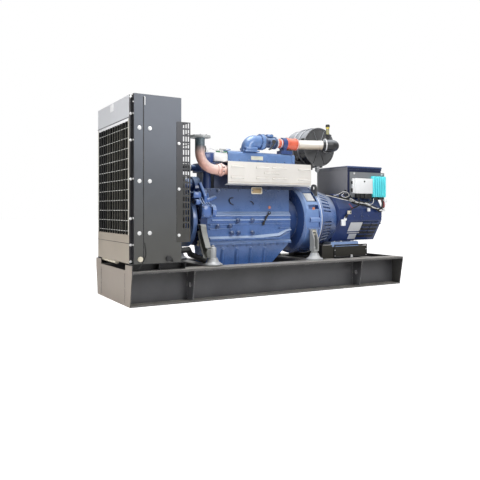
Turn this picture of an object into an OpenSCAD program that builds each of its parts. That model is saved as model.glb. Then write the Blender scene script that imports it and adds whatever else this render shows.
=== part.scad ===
// Open-skid gas engine generator set: radiator, in-line gas engine and alternator on a steel skid.
// Origin: centre of the skid's footprint, on the ground. +X runs from the radiator to the alternator, +Z is up.
// All sizes are in millimetres.

/* [Skid] */
// Width over the top flanges
skid_w = 1000; // [970:10:1100]
// Height of the side beams
skid_h = 292; // [260:1:320]
// Length of skid behind the alternator
tail_l = 108; // [60:1:300]
// Reach of a top flange outside its web
flange_out = 152; // [130:1:170]
// Reach of a bottom flange outside its web
foot_out = 106; // [80:1:125]
// Plate thickness of webs, caps and gussets
plate_t = 8; // [6:1:12]
// Thickness of the bottom flange
foot_t = 12; // [8:1:16]
// Depth of the folded lip of a top flange
lip_h = 22; // [15:1:30]
// Height of the end caps above the top flanges at the radiator
cap_rise = 46; // [20:1:60]
// Distance from the front end to the front gussets
gusset_front = 554; // [400:1:600]
// Distance from the rear end to the rear gussets
gusset_rear = 571; // [400:1:600]
// Radius of the sling hole in each gusset
sling_r = 20; // [12:1:30]
// Width of a cross member
cross_w = 110; // [80:1:140]
// Height of a cross member
cross_h = 140; // [100:1:180]

/* [Radiator] */
// Width over the side panels
rad_w = 952; // [900:2:970]
// Depth of the side panels
rad_d = 412; // [380:1:440]
// Height from the rails to the top of the side panels
rad_h = 1369; // [1300:1:1400]
// Distance from the front of the skid to the side panels
set_back = 27; // [20:1:50]
// Depth of the strip between the side panels and the front frame
recess_w = 41; // [36:1:50]
// Height of the rails under the radiator
rail_h = 60; // [40:1:80]
// Width of the rails under the radiator
rail_w = 80; // [60:1:100]
// Height of the header tank
header_h = 178; // [150:1:200]
// Height of the bottom tank
sump_h = 118; // [90:1:150]
// Depth of the front frame
frame_d = 60; // [40:1:70]
// Distance from the core to the radiator's rear face
core_back = 49; // [40:1:60]
// Width of a frame stile
stile_w = 24; // [16:1:40]
// Height of the rail under the guard
sill_h = 64; // [50:1:80]
// Thickness of folded sheet
sheet_t = 3; // [2:0.5:5]
// Number of openings across the front guard
guard_cols = 12; // [6:1:16]
// Number of openings up the front guard
guard_rows = 12; // [6:1:16]
// Thickness of a guard wire
wire_t = 5; // [4:0.5:8]
// Number of tube rows that show through the front guard
tube_rows = 30; // [12:1:36]
// Radius of a panel bolt's head
panel_bolt_r = 17; // [12:1:20]

/* [Fan] */
// Radius of the fan over its blade tips
fan_r = 368; // [330:1:375]
// Number of fan blades
fan_blades = 8; // [6:1:10]
// Height of the fan's shaft above the crankshaft
fan_rise = 320; // [280:1:360]
// Radius of the drive pulleys
pulley_r = 100; // [80:1:120]
// Radius of the vibration damper
damper_r = 245; // [200:1:260]
// Depth of the guard round the fan
cage_d = 82; // [70:1:90]
// Height of the guard round the fan
cage_h = 1005; // [960:1:1040]

/* [Engine] */
// Distance from the radiator to the cylinder block
engine_room = 371; // [360:1:450]
// Height of the crankshaft above the skid
crank_h = 398; // [380:1:420]
// Length of the cylinder block
block_l = 927; // [900:1:960]
// Length of the timing case
case_t = 70; // [60:1:90]
// Half width of the crankcase
case_hw = 214; // [205:1:225]
// Half width of the block at the cylinders
jacket_hw = 192; // [180:1:200]
// Height of the block's top face above the crankshaft
deck_h = 295; // [280:1:310]
// Depth of the block's bottom face below the crankshaft
skirt_h = 230; // [220:1:240]
// Depth of the oil pan
pan_h = 220; // [180:1:226]
// Height of the cylinder head
head_h = 250; // [230:1:270]
// Height of the valve cover
cover_h = 108; // [90:1:125]
// Number of cylinders
cylinders = 6; // [4:1:8]
// Radius of an engine mount's foot
bell_r = 84; // [75:1:95]

/* [Exhaust] */
// Distance from the head to the manifold's axis
man_out = 77; // [70:1:90]
// Outer radius of the exhaust pipe
exh_r = 44; // [38:1:50]
// Wall of the exhaust pipe
exh_wall = 4; // [3:0.5:6]
// Bend radius of the exhaust elbow
exh_bend = 157; // [120:1:180]
// Height of the exhaust flange above the manifold's axis
exh_rise = 295; // [260:1:340]
// Radius of the exhaust flange
exh_flange_r = 96; // [90:1:105]
// Thickness of the exhaust flange
exh_flange_t = 18; // [12:1:24]
// Bolt circle radius of the exhaust flange
exh_pcd_r = 76; // [72:1:80]
// Bolt hole radius of the exhaust flange
exh_hole_r = 9; // [6:0.5:10]
// Length of the heat shield
shield_l = 943; // [880:1:960]

/* [Intake] */
// Radius of the intake elbow
elbow_r = 62; // [55:1:70]
// Height of the intake duct above the valve cover
duct_rise = 107; // [95:1:120]
// Radius of the metal air pipe
pipe_r = 47; // [40:1:52]
// Length of the metal air pipe
pipe_l = 277; // [240:1:300]
// Radius of the air filter
filter_r = 204; // [190:1:215]
// Length of the air filter's body
filter_l = 340; // [300:1:360]

/* [Flywheel housing] */
// Radius of the flywheel housing
housing_r = 345; // [335:1:355]
// Length of the flywheel housing
housing_l = 200; // [180:1:220]
// Length of the neck between block and housing
neck_l = 93; // [80:1:110]
// Length of the vented adapter
adapter_l = 255; // [230:1:280]
// Number of vent slots in each group of the adapter
vent_slots = 6; // [4:1:7]

/* [Alternator] */
// Half width of the alternator
alt_hw = 300; // [290:1:310]
// Length of the stator body
stator_l = 325; // [300:1:350]
// Length of the end cover
end_l = 282; // [260:1:300]
// Height of the alternator above its axis
alt_up = 265; // [255:1:275]
// Depth of the alternator below its axis
alt_down = 235; // [225:1:240]
// Height of the alternator's feet
foot_h = 48; // [35:1:60]
// Width of the alternator's feet
foot_w = 155; // [130:1:170]
// Number of louvres in each side of the end cover
louvres = 5; // [3:1:6]

/* [Terminal box] */
// Length of the terminal box
term_l = 476; // [440:1:500]
// Width of the terminal box
term_w = 510; // [480:1:530]
// Height of the terminal box
term_h = 293; // [260:1:320]
// Height of the terminal box's lid
lid_h = 34; // [25:1:45]

/* [Hidden] */
$fn = 64;

gap = 0.3;
skid_l = set_back + rad_d + engine_room + block_l + neck_l + housing_l + adapter_l + stator_l + end_l + tail_l;
front_x = -skid_l / 2;
rear_x = skid_l / 2;
edge_y = skid_w / 2;
web_y = edge_y - flange_out;
web_in = web_y - plate_t;

rail_top = skid_h + rail_h;
rad_hw = rad_w / 2;
frame_hw = rad_hw - recess_w;
tank_hw = frame_hw + 5;
rad_front = front_x + set_back;
rad_rear = rad_front + rad_d;
tank_front = front_x + frame_d;
tank_rear = rad_rear - core_back;
rad_top = rail_top + rad_h;
core_bottom = rail_top + sump_h;
core_top = rad_top - header_h - sheet_t;
pan_top = core_bottom + 51;
opening_low = pan_top + sill_h;
opening_high = core_top - 15;
joint_x = rad_front + 80;

crank_z = skid_h + crank_h;
block_x = rad_rear + engine_room;
block_rear = block_x + block_l;
case_x = block_x - case_t;
timing_hw = case_hw + 12;
rib_z = crank_z - 44;
rib_t = 10;
deck_z = crank_z + deck_h;
skirt_z = crank_z - skirt_h;
pan_low = skirt_z - pan_h;
head_z = deck_z + head_h;
cover_z = head_z + cover_h;
head_hw = jacket_hw - 7;
head_x = block_x + 90;
head_rear = block_rear + 63;
cover_x = head_x + 155;
cover_hw = head_hw - 12;
cover_rear = head_rear + 22;
fan_z = crank_z + fan_rise;

cage_low = fan_z - cage_h / 2 + 9;
cage_high = cage_low + cage_h;
cage_front = rad_rear - 44;
cage_rear = rad_rear + cage_d;
shroud_r = fan_r + 18;
fan_half_d = 37;
fan_x = tank_rear + fan_half_d + 8;
hub_half_d = 28;
belt_x = case_x - 110;
belt_w = 30;
belt_t = 12;
pulley_w = 44;

housing_x = block_rear + neck_l;
housing_rear = housing_x + housing_l;
housing_flat = housing_r - 15;
neck_r = housing_r - 140;
adapter_rear = housing_rear + adapter_l;
adapter_r = housing_r + 10;
adapter_lip = 24;
adapter_small = alt_hw - 30;
stator_rear = adapter_rear + stator_l;
end_rear = stator_rear + end_l;
alt_top = crank_z + alt_up;
alt_low = crank_z - alt_down;
alt_side_low = crank_z - 13;
alt_side_high = crank_z + 110;
alt_belly_hw = 165;
alt_roof_hw = 205;
cover_inset = 6;

mount_y = web_y + 17;
front_mount_x = case_x + 55;
rear_mount_x = housing_x + 92;
bell_h = 60;
foot_edge = 275;
blocks_front = adapter_rear - 40;
blocks_rear = stator_rear + 88;
prop_x = housing_rear + 45;
prop_l = 150;

man_y = head_hw + man_out;
man_z = deck_z + 168;
man_x = head_x + 71;
exh_joint = man_x - 98;
exh_x = exh_joint - exh_bend;
exh_top = man_z + exh_rise;
exh_in = exh_r - exh_wall;
shield_y = man_y + 58;
thermo_z = head_z - 13;
starter_z = crank_z - 90;
starter_r = 74;
starter_body_r = 62;
starter_y = max(timing_hw + starter_body_r, neck_r + starter_r + 9);

duct_y = -130;
duct_z = cover_z + duct_rise;
elbow_x = cover_x + 235;
elbow_bend = 75;
elbow_end = elbow_x + elbow_bend + 60;
flange_t = 35;
throttle_x = elbow_end + flange_t;
throttle_l = 157;
hose_a = throttle_x + throttle_l;
hose_a_l = 67;
mixer_x = hose_a + hose_a_l;
mixer_l = 48;
hose_b = mixer_x + mixer_l;
hose_b_l = 136;
pipe_turn = 21.6;
pipe_start = [hose_b + hose_b_l, duct_y, duct_z];
pipe_dir = [cos(pipe_turn), -sin(pipe_turn), 0];
pipe_end = pipe_start + pipe_l * pipe_dir;
rubber_r = pipe_r + 10;
rubber_bend = rubber_r + 12;
sleeve_l = 70;
turn_start = pipe_end + sleeve_l * pipe_dir;
turn_centre = turn_start + rubber_bend * [sin(pipe_turn), cos(pipe_turn), 0];
filter_x = turn_centre.x + rubber_bend - 71;
filter_y = turn_centre.y + 120;
filter_z = duct_z;

term_x = adapter_rear + 157;
term_top = alt_top + term_h;
plate_y = -term_w / 2 - 6;
cyan_x = term_x + 326;

// Box between two opposite corners
module block_between(low, high) {
    translate(low) cube(high - low);
}

// Round bar between two points
module bar(a, b, r) {
    d = b - a;
    translate(a) rotate([0, acos(d.z / norm(d)), atan2(d.y, d.x)]) cylinder(h = norm(d), r = r);
}

// Round bar that bends at each inner point of a route
module bent_bar(route, r) {
    for (i = [0:len(route) - 2]) bar(route[i], route[i + 1], r);
    for (i = [1:1:len(route) - 2]) translate(route[i]) sphere(r + 1);
}

// Disc or drum whose axis lies along X
module drum_x(x0, x1, y, z, r) {
    translate([x0, y, z]) rotate([0, 90, 0]) cylinder(h = x1 - x0, r = r);
}

// Disc or drum whose axis lies along Y
module drum_y(x, y0, y1, z, r) {
    translate([x, y1, z]) rotate([90, 0, 0]) cylinder(h = y1 - y0, r = r);
}

// Outline in the Y-Z plane drawn out along X
module along_x(x0, x1) {
    translate([x0, 0, 0]) rotate([90, 0, 90]) linear_extrude(x1 - x0) children();
}

// Outline in the X-Z plane drawn out along Y
module along_y(y0, y1) {
    translate([0, y1, 0]) rotate([90, 0, 0]) linear_extrude(y1 - y0) children();
}

// Rectangle with round corners
module round_rect(low, high, r) {
    translate([low.x + r, low.y]) square([high.x - low.x - 2 * r, high.y - low.y]);
    translate([low.x, low.y + r]) square([high.x - low.x, high.y - low.y - 2 * r]);
    for (x = [low.x + r, high.x - r], y = [low.y + r, high.y - r]) translate([x, y]) circle(r);
}

// Rectangle with round upper corners
module arched_rect(low, high, r) {
    translate(low) square([high.x - low.x, high.y - low.y - r]);
    translate([low.x + r, low.y]) square([high.x - low.x - 2 * r, high.y - low.y]);
    for (x = [low.x + r, high.x - r]) translate([x, high.y - r]) circle(r);
}

// The same piece on the near and the far side
module both_sides() {
    children();
    mirror([0, 1, 0]) children();
}

// Turned about an upright axis through a point
module rotate_about(p, a) {
    translate([p.x, p.y, 0]) rotate([0, 0, a]) children();
}

module skid_beams() {
    color("#3d3e40") both_sides()
        along_x(front_x + plate_t, rear_x - plate_t) {
            translate([-web_y, 0]) square([plate_t, skid_h]);
            translate([-edge_y, skid_h - plate_t]) square([edge_y - web_in, plate_t]);
            translate([-edge_y, skid_h - lip_h]) square([plate_t, lip_h]);
            translate([-web_y - foot_out, 0]) square([foot_out + plate_t, foot_t]);
        }
}

module end_plate(x) {
    block_between([x, -web_in, 0], [x + plate_t, web_in, skid_h]);
}

module skid_end_plates() {
    color("#8d867b") {
        end_plate(front_x);
        end_plate(rear_x - plate_t);
    }
}

module end_cap(x, rise) {
    along_x(x, x + plate_t)
        polygon([[-web_in, 0], [-web_y - foot_out, 0], [-edge_y, skid_h - lip_h], [-edge_y, skid_h + rise],
            [-web_in, skid_h + rise]]);
}

module skid_end_caps() {
    color("#8d867b") both_sides() {
        end_cap(front_x, cap_rise);
        end_cap(rear_x - plate_t, 0);
    }
}

module skid_gussets() {
    lip_in = edge_y - plate_t;
    color("#3d3e40") both_sides()
        for (x = [front_x + gusset_front, rear_x - gusset_rear])
            difference() {
                along_x(x, x + plate_t)
                    polygon([[-web_y, foot_t], [-web_y - foot_out, foot_t], [-lip_in, skid_h - lip_h],
                        [-lip_in, skid_h - plate_t], [-web_y, skid_h - plate_t]]);
                drum_x(x - 1, x + plate_t + 1, -web_y - foot_out / 2, skid_h / 2, sling_r);
            }
}

module cross_member(x) {
    hw = cross_w / 2;
    low = skid_h - cross_h;
    difference() {
        block_between([x - hw, -web_in, low], [x + hw, web_in, skid_h]);
        block_between([x - hw + plate_t, -web_in - 1, low + plate_t],
            [x + hw - plate_t, web_in + 1, skid_h - plate_t]);
    }
}

module skid_cross_members() {
    prop_mid = prop_x + prop_l / 2;
    color("#3d3e40")
        for (x = [front_mount_x, rear_mount_x, prop_mid, blocks_rear - cross_w / 2])
            cross_member(x);
}

module radiator_rails() {
    low_x = front_x + plate_t + 2;
    high_x = rad_rear + 38;
    wall = 6;
    bay = (high_x - low_x - 3 * wall) / 2;
    color("#2b2c2e") both_sides()
        difference() {
            block_between([low_x, -rad_hw, skid_h], [high_x, -rad_hw + rail_w, rail_top]);
            for (x = [low_x + wall, low_x + 2 * wall + bay])
                block_between([x, -rad_hw - 1, skid_h + wall], [x + bay, -rad_hw + rail_w - wall, rail_top - wall]);
        }
}

module radiator_core() {
    rib_d = 12;
    rib_w = 9;
    pitch = 2 * tank_hw / tube_rows;
    color("#35382f") {
        block_between([tank_front + rib_d, -tank_hw, core_bottom], [tank_rear, tank_hw, core_top]);
        for (i = [0:tube_rows - 1])
            translate([tank_front, -tank_hw + (i + 0.5) * pitch - rib_w / 2, core_bottom])
                cube([rib_d, rib_w, core_top - core_bottom]);
    }
}

module radiator_tanks() {
    corner = 30;
    color("#3f4143") {
        block_between([tank_front, -tank_hw, rail_top], [tank_rear, tank_hw, core_bottom]);
        along_y(-tank_hw, tank_hw) arched_rect([tank_front, core_top], [tank_rear, rad_top - sheet_t], corner);
    }
}

// Folded side panel with returns that meet the tanks, and the long joint near its front edge
module radiator_side() {
    joint_w = 8;
    color("#565b60")
        difference() {
            block_between([rad_front, -rad_hw, rail_top], [rad_rear, -tank_hw, rad_top]);
            block_between([rad_front + sheet_t, -rad_hw + sheet_t, rail_top + sheet_t],
                [rad_rear - sheet_t, -tank_hw + 1, rad_top - sheet_t]);
            block_between([joint_x - joint_w / 2, -rad_hw - 1, rail_top + 25],
                [joint_x + joint_w / 2, -rad_hw + sheet_t - 1, rad_top - 22]);
        }
}

module radiator_sides() {
    both_sides() radiator_side();
}

// Bolt head on a side panel, seated in a round washer
module panel_bolt(x, y, z, r) {
    drum_y(x, y - 3, y, z, r);
    drum_y(x, y - 9, y - 3, z, r * 0.7);
}

module radiator_bolts() {
    rows = [0.18, 0.487, 0.8];
    cage_bolt_r = panel_bolt_r - 4;
    color("#c9ccd0") both_sides() {
        for (t = rows, x = [joint_x - 35, joint_x + 53])
            panel_bolt(x, -rad_hw, rail_top + t * rad_h, panel_bolt_r);
        for (t = [0.08, 0.51, 0.92])
            panel_bolt(rad_rear - 22, -rad_hw - sheet_t, cage_low + t * cage_h, cage_bolt_r);
    }
}

// Folded pan that closes the front frame above and below the guard
module front_pan(z0, z1) {
    difference() {
        block_between([front_x, -frame_hw, z0], [tank_front, frame_hw, z1]);
        block_between([front_x + sheet_t, -frame_hw + sheet_t, z0 + sheet_t],
            [tank_front + 1, frame_hw - sheet_t, z1 - sheet_t]);
    }
}

module header_panel() {
    color("#a89f92") front_pan(opening_high, rad_top - 9);
}

module lower_panel() {
    color("#a89f92") {
        front_pan(rail_top, pan_top);
        front_pan(pan_top, opening_low);
    }
}

module front_stiles() {
    color("#7d7f80") both_sides()
        block_between([front_x, -frame_hw, opening_low], [tank_front, -frame_hw + stile_w, opening_high]);
}

module front_guard() {
    hw = frame_hw - stile_w;
    x = front_x + 8;
    half = wire_t / 2;
    dy = 2 * hw / guard_cols;
    dz = (opening_high - opening_low) / guard_rows;
    color("#2b2c2e") {
        for (i = [1:guard_cols - 1])
            translate([x, -hw + i * dy - half, opening_low]) cube([wire_t, wire_t, opening_high - opening_low]);
        for (i = [1:guard_rows - 1])
            translate([0, 0, opening_low + i * dz]) block_between([x, -hw, -half], [x + wire_t, hw, half]);
    }
}

module filler_cap() {
    neck_h = 14;
    color("#8a8d90") translate([(tank_front + tank_rear) / 2, 0, rad_top - sheet_t]) {
        cylinder(h = neck_h, r = 26);
        translate([0, 0, neck_h]) cylinder(h = 12, r = 36);
    }
}

module fan_shroud() {
    lip = 26;
    face = rad_rear - 3 * sheet_t;
    color("#3a3c3e") {
        difference() {
            block_between([face, -tank_hw, core_bottom], [rad_rear - sheet_t, tank_hw, core_top]);
            drum_x(face - 1, rad_rear, 0, fan_z, shroud_r);
        }
        difference() {
            drum_x(tank_rear, rad_rear + lip, 0, fan_z, shroud_r + sheet_t);
            drum_x(tank_rear - 1, rad_rear + lip + 1, 0, fan_z, shroud_r);
        }
    }
}

// Cambered blade, trimmed to the tip circle and to the hub
module fan_blade() {
    chord = 120;
    camber_r = 150;
    blade_t = 5;
    pitch = 32;
    root = 85;
    depth = 60;
    intersection() {
        rotate([0, 0, pitch])
            linear_extrude(fan_r)
                difference() {
                    intersection() {
                        translate([0, -camber_r]) circle(camber_r + blade_t / 2);
                        translate([-chord / 2, -depth]) square([chord, 2 * depth]);
                    }
                    translate([0, -camber_r]) circle(camber_r - blade_t / 2);
                }
        rotate([0, 90, 0]) translate([0, 0, -depth]) difference() {
            cylinder(h = 2 * depth, r = fan_r);
            translate([0, 0, -1]) cylinder(h = 2 * depth + 2, r = root);
        }
    }
}

module fan() {
    hub_r = 95;
    color("#202224") translate([fan_x, 0, fan_z]) {
        for (i = [0:fan_blades - 1])
            rotate([i * 360 / fan_blades, 0, 0]) rotate([0, 0, 90]) fan_blade();
        rotate([0, 90, 0]) translate([0, 0, -hub_half_d]) cylinder(h = 2 * hub_half_d, r = hub_r);
    }
}

module fan_guard_side() {
    cols = 3;
    rows = 16;
    slot = [12, sheet_t + 2, 42];
    pitch = [22, 56];
    color("#5b5f63")
        difference() {
            block_between([cage_front, -rad_hw - sheet_t, cage_low], [cage_rear, -rad_hw, cage_high]);
            for (x = [0:pitch.x:(cols - 1) * pitch.x], z = [50:pitch.y:50 + (rows - 1) * pitch.y])
                translate([rad_rear + 14 + x, -rad_hw - sheet_t - 1, cage_high - z]) cube(slot);
        }
}

module fan_guard_sides() {
    both_sides() fan_guard_side();
}

// Grille behind the fan, with a flat top, a flat bottom and a ring round the shaft
module fan_guard_rear() {
    cols = 10;
    rows = 11;
    bar_t = 6;
    ring_in = 150;
    ring_out = 175;
    dy = (2 * rad_hw - bar_t) / cols;
    dz = (cage_high - cage_low) / rows;
    x = cage_rear - bar_t;
    color("#4a4d50") {
        for (z = [cage_low, cage_high - sheet_t])
            block_between([rad_rear, -rad_hw, z], [cage_rear, rad_hw, z + sheet_t]);
        difference() {
            union() {
                for (y = [-rad_hw:dy:rad_hw])
                    block_between([x, y, cage_low], [cage_rear, y + bar_t, cage_high]);
                for (i = [1:rows - 1])
                    translate([0, 0, cage_low + i * dz - bar_t / 2])
                        block_between([x, -rad_hw, 0], [cage_rear, rad_hw, bar_t]);
                drum_x(x, cage_rear, 0, fan_z, ring_out);
            }
            drum_x(x - 1, cage_rear + 1, 0, fan_z, ring_in);
        }
    }
}

module pulley(z) {
    cheek_r = pulley_r + belt_t + 2;
    half = belt_w / 2 + gap;
    drum_x(belt_x - pulley_w / 2, belt_x - half, 0, z, cheek_r);
    drum_x(belt_x - pulley_w / 2, belt_x + pulley_w / 2, 0, z, pulley_r);
    drum_x(belt_x + half, belt_x + pulley_w / 2, 0, z, cheek_r);
}

module fan_drive() {
    shaft_r = 38;
    bearing_l = 60;
    bearing_r = 70;
    color("#2a3f74") {
        pulley(fan_z);
        drum_x(fan_x + hub_half_d, case_x, 0, fan_z, shaft_r);
        drum_x(case_x - bearing_l, case_x, 0, fan_z, bearing_r);
    }
}

module crank_damper() {
    nose_r = 60;
    rim_w = 42;
    front = case_x - 78;
    rear = case_x - 38;
    dish = 16;
    color("#3f5fa0") {
        pulley(crank_z);
        drum_x(belt_x, case_x, 0, crank_z, nose_r);
        difference() {
            drum_x(front, rear, 0, crank_z, damper_r);
            drum_x(front - 1, front + dish, 0, crank_z, damper_r - rim_w);
        }
    }
}

// Loop round two circles in line
module belt_loop(r) {
    translate([-r, crank_z]) square([2 * r, fan_z - crank_z]);
    for (z = [crank_z, fan_z]) translate([0, z]) circle(r);
}

module fan_belt() {
    color("#1b1b1c")
        along_x(belt_x - belt_w / 2, belt_x + belt_w / 2)
            difference() {
                belt_loop(pulley_r + belt_t);
                belt_loop(pulley_r + gap);
            }
}

module timing_case() {
    corner = 60;
    snout_r = 120;
    drop = 30;
    color("#34539a") {
        along_x(case_x, block_x) {
            round_rect([-timing_hw, skirt_z], [timing_hw, deck_z], corner);
            translate([0, fan_z - drop]) circle(snout_r);
            translate([-snout_r, crank_z]) square([2 * snout_r, fan_z - drop - crank_z]);
        }
        for (z = [skirt_z + corner, crank_z, deck_z - corner])
            drum_x(case_x - 6, case_x, -timing_hw + 22, z, 13);
    }
}

module block_outline() {
    rail = 18;
    ledge = crank_z + 56;
    shoulder = crank_z + 80;
    half = [[case_hw + rail, skirt_z], [case_hw + rail, skirt_z + 20], [case_hw, skirt_z + 36],
        [case_hw, ledge], [jacket_hw, shoulder], [jacket_hw, deck_z]];
    both = concat(half, [for (i = [len(half) - 1:-1:0]) [-half[i].x, half[i].y]]);
    polygon(both);
}

// Long rib of the crankcase that climbs to the flywheel end
module rising_rib() {
    low = skirt_z + 48;
    rise = 48;
    t = 14;
    turn = block_rear - 150;
    polygon([[block_x + 20, low], [turn, low], [block_rear - 25, low + rise], [block_rear - 25, low + rise + t],
        [turn, low + t], [block_x + 20, low + t]]);
}

module cylinder_block() {
    rib_d = 16;
    root = 4;
    stub_z = crank_z - 85;
    plug_d = 20;
    plug_r = 16;
    plugs = [[318, -3], [477, -3], [106, -52], [237, -52], [253, -119], [324, -119], [477, -119]];
    color("#4667a8") {
        along_x(block_x, block_rear) block_outline();
        both_sides() {
            block_between([block_x + 20, -case_hw - rib_d, rib_z], [block_rear - 20, -case_hw + root, rib_z + rib_t]);
            for (x = [[20, 250], [790, 900]])
                translate([block_x, -case_hw - rib_d, stub_z]) block_between([x[0], 0, 0], [x[1], rib_d + root, rib_t]);
            along_y(-case_hw - 2 * rib_d, -case_hw + root) rising_rib();
            for (p = plugs)
                difference() {
                    drum_y(block_x + p[0], -case_hw - plug_d, -case_hw + root, crank_z + p[1], plug_r);
                    drum_y(block_x + p[0], -case_hw - plug_d - 1, -case_hw - 2, crank_z + p[1], plug_r / 2);
                }
        }
    }
}

module oil_pan() {
    hw = case_hw - 10;
    front = block_x + 70;
    rear = block_rear - 8;
    tuck = 25;
    flute_r = 15;
    flute_x = block_x + 173;
    flute_pitch = 154;
    flute_top = skirt_z - 45;
    color("#3b5c9d") {
        intersection() {
            along_y(-hw, hw)
                polygon([[front, skirt_z], [front + 12, pan_low], [rear - pan_h, pan_low], [rear, skirt_z]]);
            along_x(front - 1, rear + 1)
                polygon([[-hw, skirt_z], [-hw + tuck, pan_low + tuck], [-hw + 2 * tuck, pan_low],
                    [hw - 2 * tuck, pan_low], [hw - tuck, pan_low + tuck], [hw, skirt_z]]);
        }
        both_sides()
            for (x = [flute_x:flute_pitch:flute_x + 3 * flute_pitch]) {
                bar([x, -hw + 4, flute_top], [x, -hw + tuck, pan_low + tuck + 8], flute_r);
                translate([x, -hw + 4, flute_top]) sphere(flute_r + 1);
            }
    }
}

module cylinder_head() {
    seam = 6;
    color("#3e5e9e")
        difference() {
            block_between([head_x, -head_hw, deck_z], [head_rear, head_hw, head_z]);
            both_sides()
                for (i = [1:cylinders - 1])
                    translate([head_x + i * (head_rear - head_x) / cylinders, -head_hw - 1, deck_z - 1])
                        cube([seam, seam, head_h + 2]);
        }
}

module valve_cover() {
    corner = 26;
    seam_x = cover_rear - 38;
    seam_w = 5;
    seam_d = 4;
    color("#5b7dbd")
        difference() {
            along_x(cover_x, cover_rear) arched_rect([-cover_hw, head_z], [cover_hw, cover_z], corner);
            along_x(seam_x, seam_x + seam_w)
                difference() {
                    arched_rect([-cover_hw - 1, head_z - 1], [cover_hw + 1, cover_z + 1], corner);
                    arched_rect([-cover_hw + seam_d, head_z - 2], [cover_hw - seam_d, cover_z - seam_d], corner);
                }
        }
}

// Bell-shaped rubber mount on the skid
module bell_mount(x, throat_r) {
    foot = 8;
    translate([x, -mount_y, skid_h]) {
        cylinder(h = foot, r = bell_r);
        translate([0, 0, foot]) cylinder(h = bell_h - foot, r1 = bell_r - 6, r2 = throat_r);
    }
}

// Forged arms from the timing case, each on the post of a bell mount
module front_mounts() {
    post_r = 26;
    post_top = skid_h + 167;
    arm_front = case_x - 30;
    arm_rear = case_x + 15;
    out_y = mount_y + 35;
    in_y = mount_y - 20;
    top = crank_z - 35;
    color("#9aa09a") both_sides() {
        bell_mount(front_mount_x, post_r + 6);
        bar([front_mount_x, -mount_y, skid_h + bell_h], [front_mount_x, -mount_y, post_top], post_r);
        block_between([arm_rear, -out_y, post_top - 44], [front_mount_x, -in_y + 12, post_top - 8]);
        difference() {
            along_x(arm_front, arm_rear)
                polygon([[-150, top - 55], [-150, top], [-300, top], [-312, top - 95], [-out_y, post_top - 8],
                    [-out_y, post_top - 114], [-in_y, post_top - 114], [-260, post_top + 61]]);
            block_between([case_x - gap, -timing_hw - gap, skid_h], [arm_rear + 1, 0, crank_z]);
        }
    }
}

// Ribbed brackets bolted to the flywheel housing, each on a ring over a bell mount
module rear_mounts() {
    seat_t = 16;
    ring_h = 29;
    seat = skid_h + bell_h + ring_h;
    high = crank_z - 93;
    half = 30;
    rib_t = 12;
    wall = 14;
    bolt_r = 8;
    back = housing_flat + gap;
    front = mount_y + 32;
    color("#9aa09a") both_sides() {
        bell_mount(rear_mount_x, half + 6);
        translate([rear_mount_x, -mount_y, skid_h + bell_h]) cylinder(h = ring_h, r = half);
        block_between([rear_mount_x - half, -front, seat], [rear_mount_x + half, -back, seat + seat_t]);
        block_between([rear_mount_x - half, -back - wall, seat], [rear_mount_x + half, -back, high]);
        for (x = [rear_mount_x - half, rear_mount_x + half - rib_t])
            along_x(x, x + rib_t)
                polygon([[-back - wall, seat + seat_t], [-front, seat + seat_t], [-front, high - 100],
                    [-back - 2 * wall, high - 10], [-back - wall, high - 10]]);
        for (x = [rear_mount_x - 10, rear_mount_x + 10], z = [high - 52, high - 22])
            drum_y(x, -back - wall - 10, -back - wall, z, bolt_r);
    }
}

module coolant_pump() {
    y_in = timing_hw + gap;
    y_out = timing_hw + 74;
    front = case_x - 20;
    rear = front + 99;
    low = crank_z + 24;
    high = low + 126;
    cap_r = 60;
    cap_l = 50;
    pipe = 19;
    mid = (y_in + y_out) / 2;
    color("#4a6cb4") {
        along_x(front, rear) round_rect([-y_out, low], [-y_in, high], 22);
        drum_x(rear, rear + cap_l, -mid, (low + high) / 2, cap_r - 24);
        intersection() {
            drum_x(rear, rear + cap_l - 14, -mid, (low + high) / 2, cap_r);
            block_between([front, -y_out - cap_r, low], [rear + cap_l, -y_in, high]);
        }
        bent_bar([[front + 50, -mid, high - 20], [front + 46, -mid, high + 68],
            [front + 24, -mid + 62, deck_z + 42]], pipe);
        bent_bar([[rear - 24, -mid, high - 20], [rear - 24, -mid, high + 34],
            [block_x + 95, -jacket_hw + 5, high + 62]], pipe);
    }
}

module thermostat_housing() {
    low = thermo_z - 86;
    front = block_x - 12;
    tower = 38;
    side = -head_hw - 20;
    inner = 60;
    hose_z = thermo_z - 40;
    color("#4f6da6") {
        block_between([front, side, low], [head_x - gap, inner, thermo_z]);
        translate([front + tower + 2, side + tower + 12, deck_z]) cylinder(h = low - deck_z, r = tower);
        drum_x(front - 46, front, inner - 40, hose_z, 30);
    }
}

// Upper and lower coolant hoses, and the drain hose that is clipped to the front cross member
module coolant_hoses() {
    hose_r = 36;
    drain_r = 26;
    outlet_y = 150;
    port = block_x - 12 - 46;
    port_z = thermo_z - 40;
    bend_x = case_x - 90;
    upper = rad_top - 120;
    lower = (rail_top + core_bottom) / 2;
    color("#141415") {
        bent_bar([[tank_rear + gap, outlet_y, upper], [bend_x, outlet_y, upper], [bend_x, outlet_y, port_z],
            [bend_x + 40, 20, port_z], [port - gap, 20, port_z]], hose_r);
        bent_bar([[tank_rear + gap, -outlet_y - 50, lower], [belt_x, -outlet_y - 50, lower + 20],
            [case_x - 50, -outlet_y + 30, skid_h + 90],
            [front_mount_x + 20, -outlet_y - 40, skid_h + drain_r + gap]], drain_r);
    }
}

module dipstick() {
    r = 6;
    y = case_hw + r + gap;
    top = [block_x + 672, -y - 4, crank_z + 66];
    foot = [block_x + 607, -y, rib_z + rib_t + r];
    color("#17181a") {
        bent_bar([foot, top], r);
        translate(top) rotate([90, 0, 0]) rotate_extrude() translate([14, 0]) circle(4);
    }
}

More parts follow.
